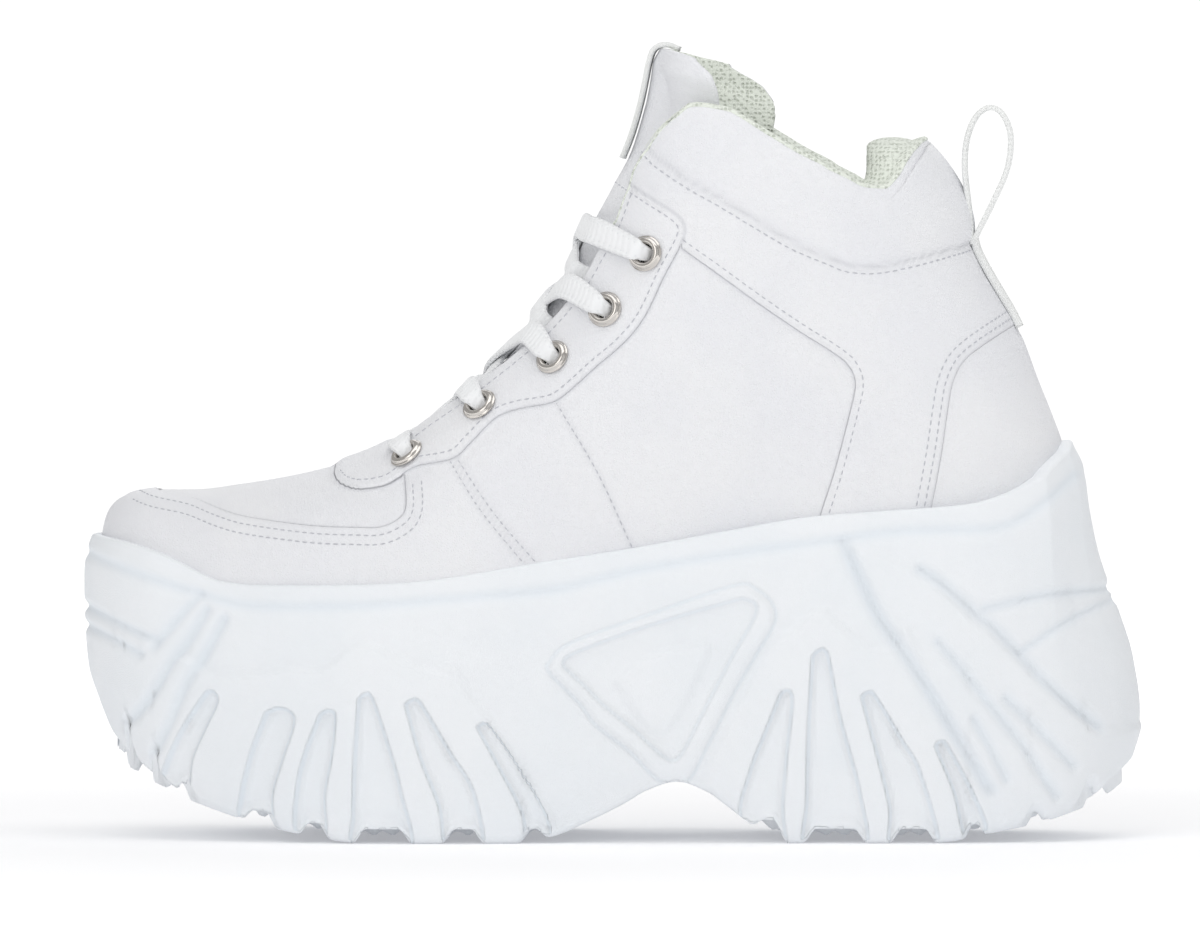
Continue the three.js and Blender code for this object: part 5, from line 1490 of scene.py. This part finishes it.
# %% [markdown]
# The insole keeps its engineering shape, which lies deep inside the shoe, and is covered in cloth.

# %% Insole cloth
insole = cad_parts["insole"]
insole.data.materials.clear()
insole.data.materials.append(insole_cloth)
print("insole covered")

# %% [markdown]
# A white shoe is shown on white paper under large soft lights. The paper here is one wide sheet. It glows
# more the further it is from the shoe, so its edge can't be told from the white room, and the shoe's own
# faint shadow stays.

# %% Paper floor
PAPER_HALF, PAPER_CORNERS = 3000, 9
floor = float(cad_box[0].z) / MM
span = np.linspace(-PAPER_HALF, PAPER_HALF, PAPER_CORNERS)
paper = sheet("paper", np.array([[(x, y, floor) for x in span] for y in span]))
white, graph, sockets = material("white_paper", (0.93, 0.93, 0.935), 0.8)
place = graph.add("ShaderNodeTexCoord").outputs["Object"]
surface = graph.add("ShaderNodeTexNoise", {"Vector": place, "Scale": 3.0, "Detail": 2.0})
tint = graph.mix(surface.outputs["Fac"], (0.925, 0.925, 0.93, 1), (0.935, 0.935, 0.94, 1))
graph.tree.links.new(tint, sockets["Base Color"])
away = graph.add("ShaderNodeVectorMath", {0: place}, operation="LENGTH").outputs["Value"]
glow = graph.step(away, 0.12, 1.1)
graph.tree.links.new(graph.mix(glow, (0.16, 0.16, 0.165, 1), (0.7, 0.7, 0.7, 1)), sockets["Emission Color"])
sockets["Emission Strength"].default_value = 1.0
paper.data.materials.append(white)
turned_out(paper, lambda c: np.array([0, 0, 1.0]))
paper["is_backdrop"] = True

# %% [markdown]
# The camera stands square to the shoe's outer side and far away, so that it sees the outline as a drawing
# would. Big area lights from above, in front and behind fill the folds. The ones above and at the left
# are strongest.

# %% Camera and lights
low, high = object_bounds()
centre = (low + high) / 2
YAW, TILT, DISTANCE = math.radians(3.0), math.radians(1.3), 4.0
VIEW_WIDTH, VIEW_CENTRE_X, VIEW_CENTRE_Z = 0.3200, -0.0028, 0.1000
NEAR_SIDE = 0.02  # the shoe's near side stands about this far in front of its middle
camera_data = bpy.data.cameras.new("camera")
camera = bpy.data.objects.new("camera", camera_data)
bpy.context.scene.collection.objects.link(camera)
target = Vector((VIEW_CENTRE_X, 0, VIEW_CENTRE_Z))
back = Vector((math.sin(YAW) * math.cos(TILT), -math.cos(YAW) * math.cos(TILT), math.sin(TILT)))
camera.location = target + back * DISTANCE
camera.rotation_euler = back.to_track_quat("Z", "Y").to_euler()
camera_data.lens = camera_data.sensor_width * (DISTANCE - NEAR_SIDE) / VIEW_WIDTH
camera_data.clip_end = 50
bpy.context.scene.camera = camera


def soft_light(name, place, size, power, color=(1, 1, 1)):
    data = bpy.data.lights.new(name, "AREA")
    data.shape = "RECTANGLE"
    data.size, data.size_y = size
    data.energy, data.color = power, color
    lamp = bpy.data.objects.new(name, data)
    bpy.context.scene.collection.objects.link(lamp)
    lamp.location = place
    lamp.rotation_euler = (Vector(place) - centre).to_track_quat("Z", "Y").to_euler()
    return lamp


soft_light("top", (0.15, -0.35, 1.5), (1.6, 1.2), 8.0)
soft_light("front_left", (-0.5, -1.7, 0.9), (1.2, 1.2), 6.6, (1.0, 0.99, 0.98))
soft_light("front_right", (1.3, -1.3, 0.7), (1.0, 1.2), 1.1, (0.97, 0.98, 1.0))
soft_light("rear", (0.2, 1.4, 0.9), (1.8, 0.9), 4.5)
world = bpy.data.worlds.new("white_room")
world.use_nodes = True
graph = Graph(world.node_tree)
room = world.node_tree.nodes["Background"]
room.inputs["Color"].default_value = (1, 1, 1, 1)
seen = graph.add("ShaderNodeLightPath").outputs["Is Camera Ray"]
graph.tree.links.new(graph.math("MULTIPLY_ADD", seen, 0.6, 0.47), room.inputs["Strength"])
bpy.context.scene.world = world
bpy.context.scene.view_settings.view_transform = "Standard"
print("camera", [round(v, 3) for v in camera.location], "lens", round(camera_data.lens))
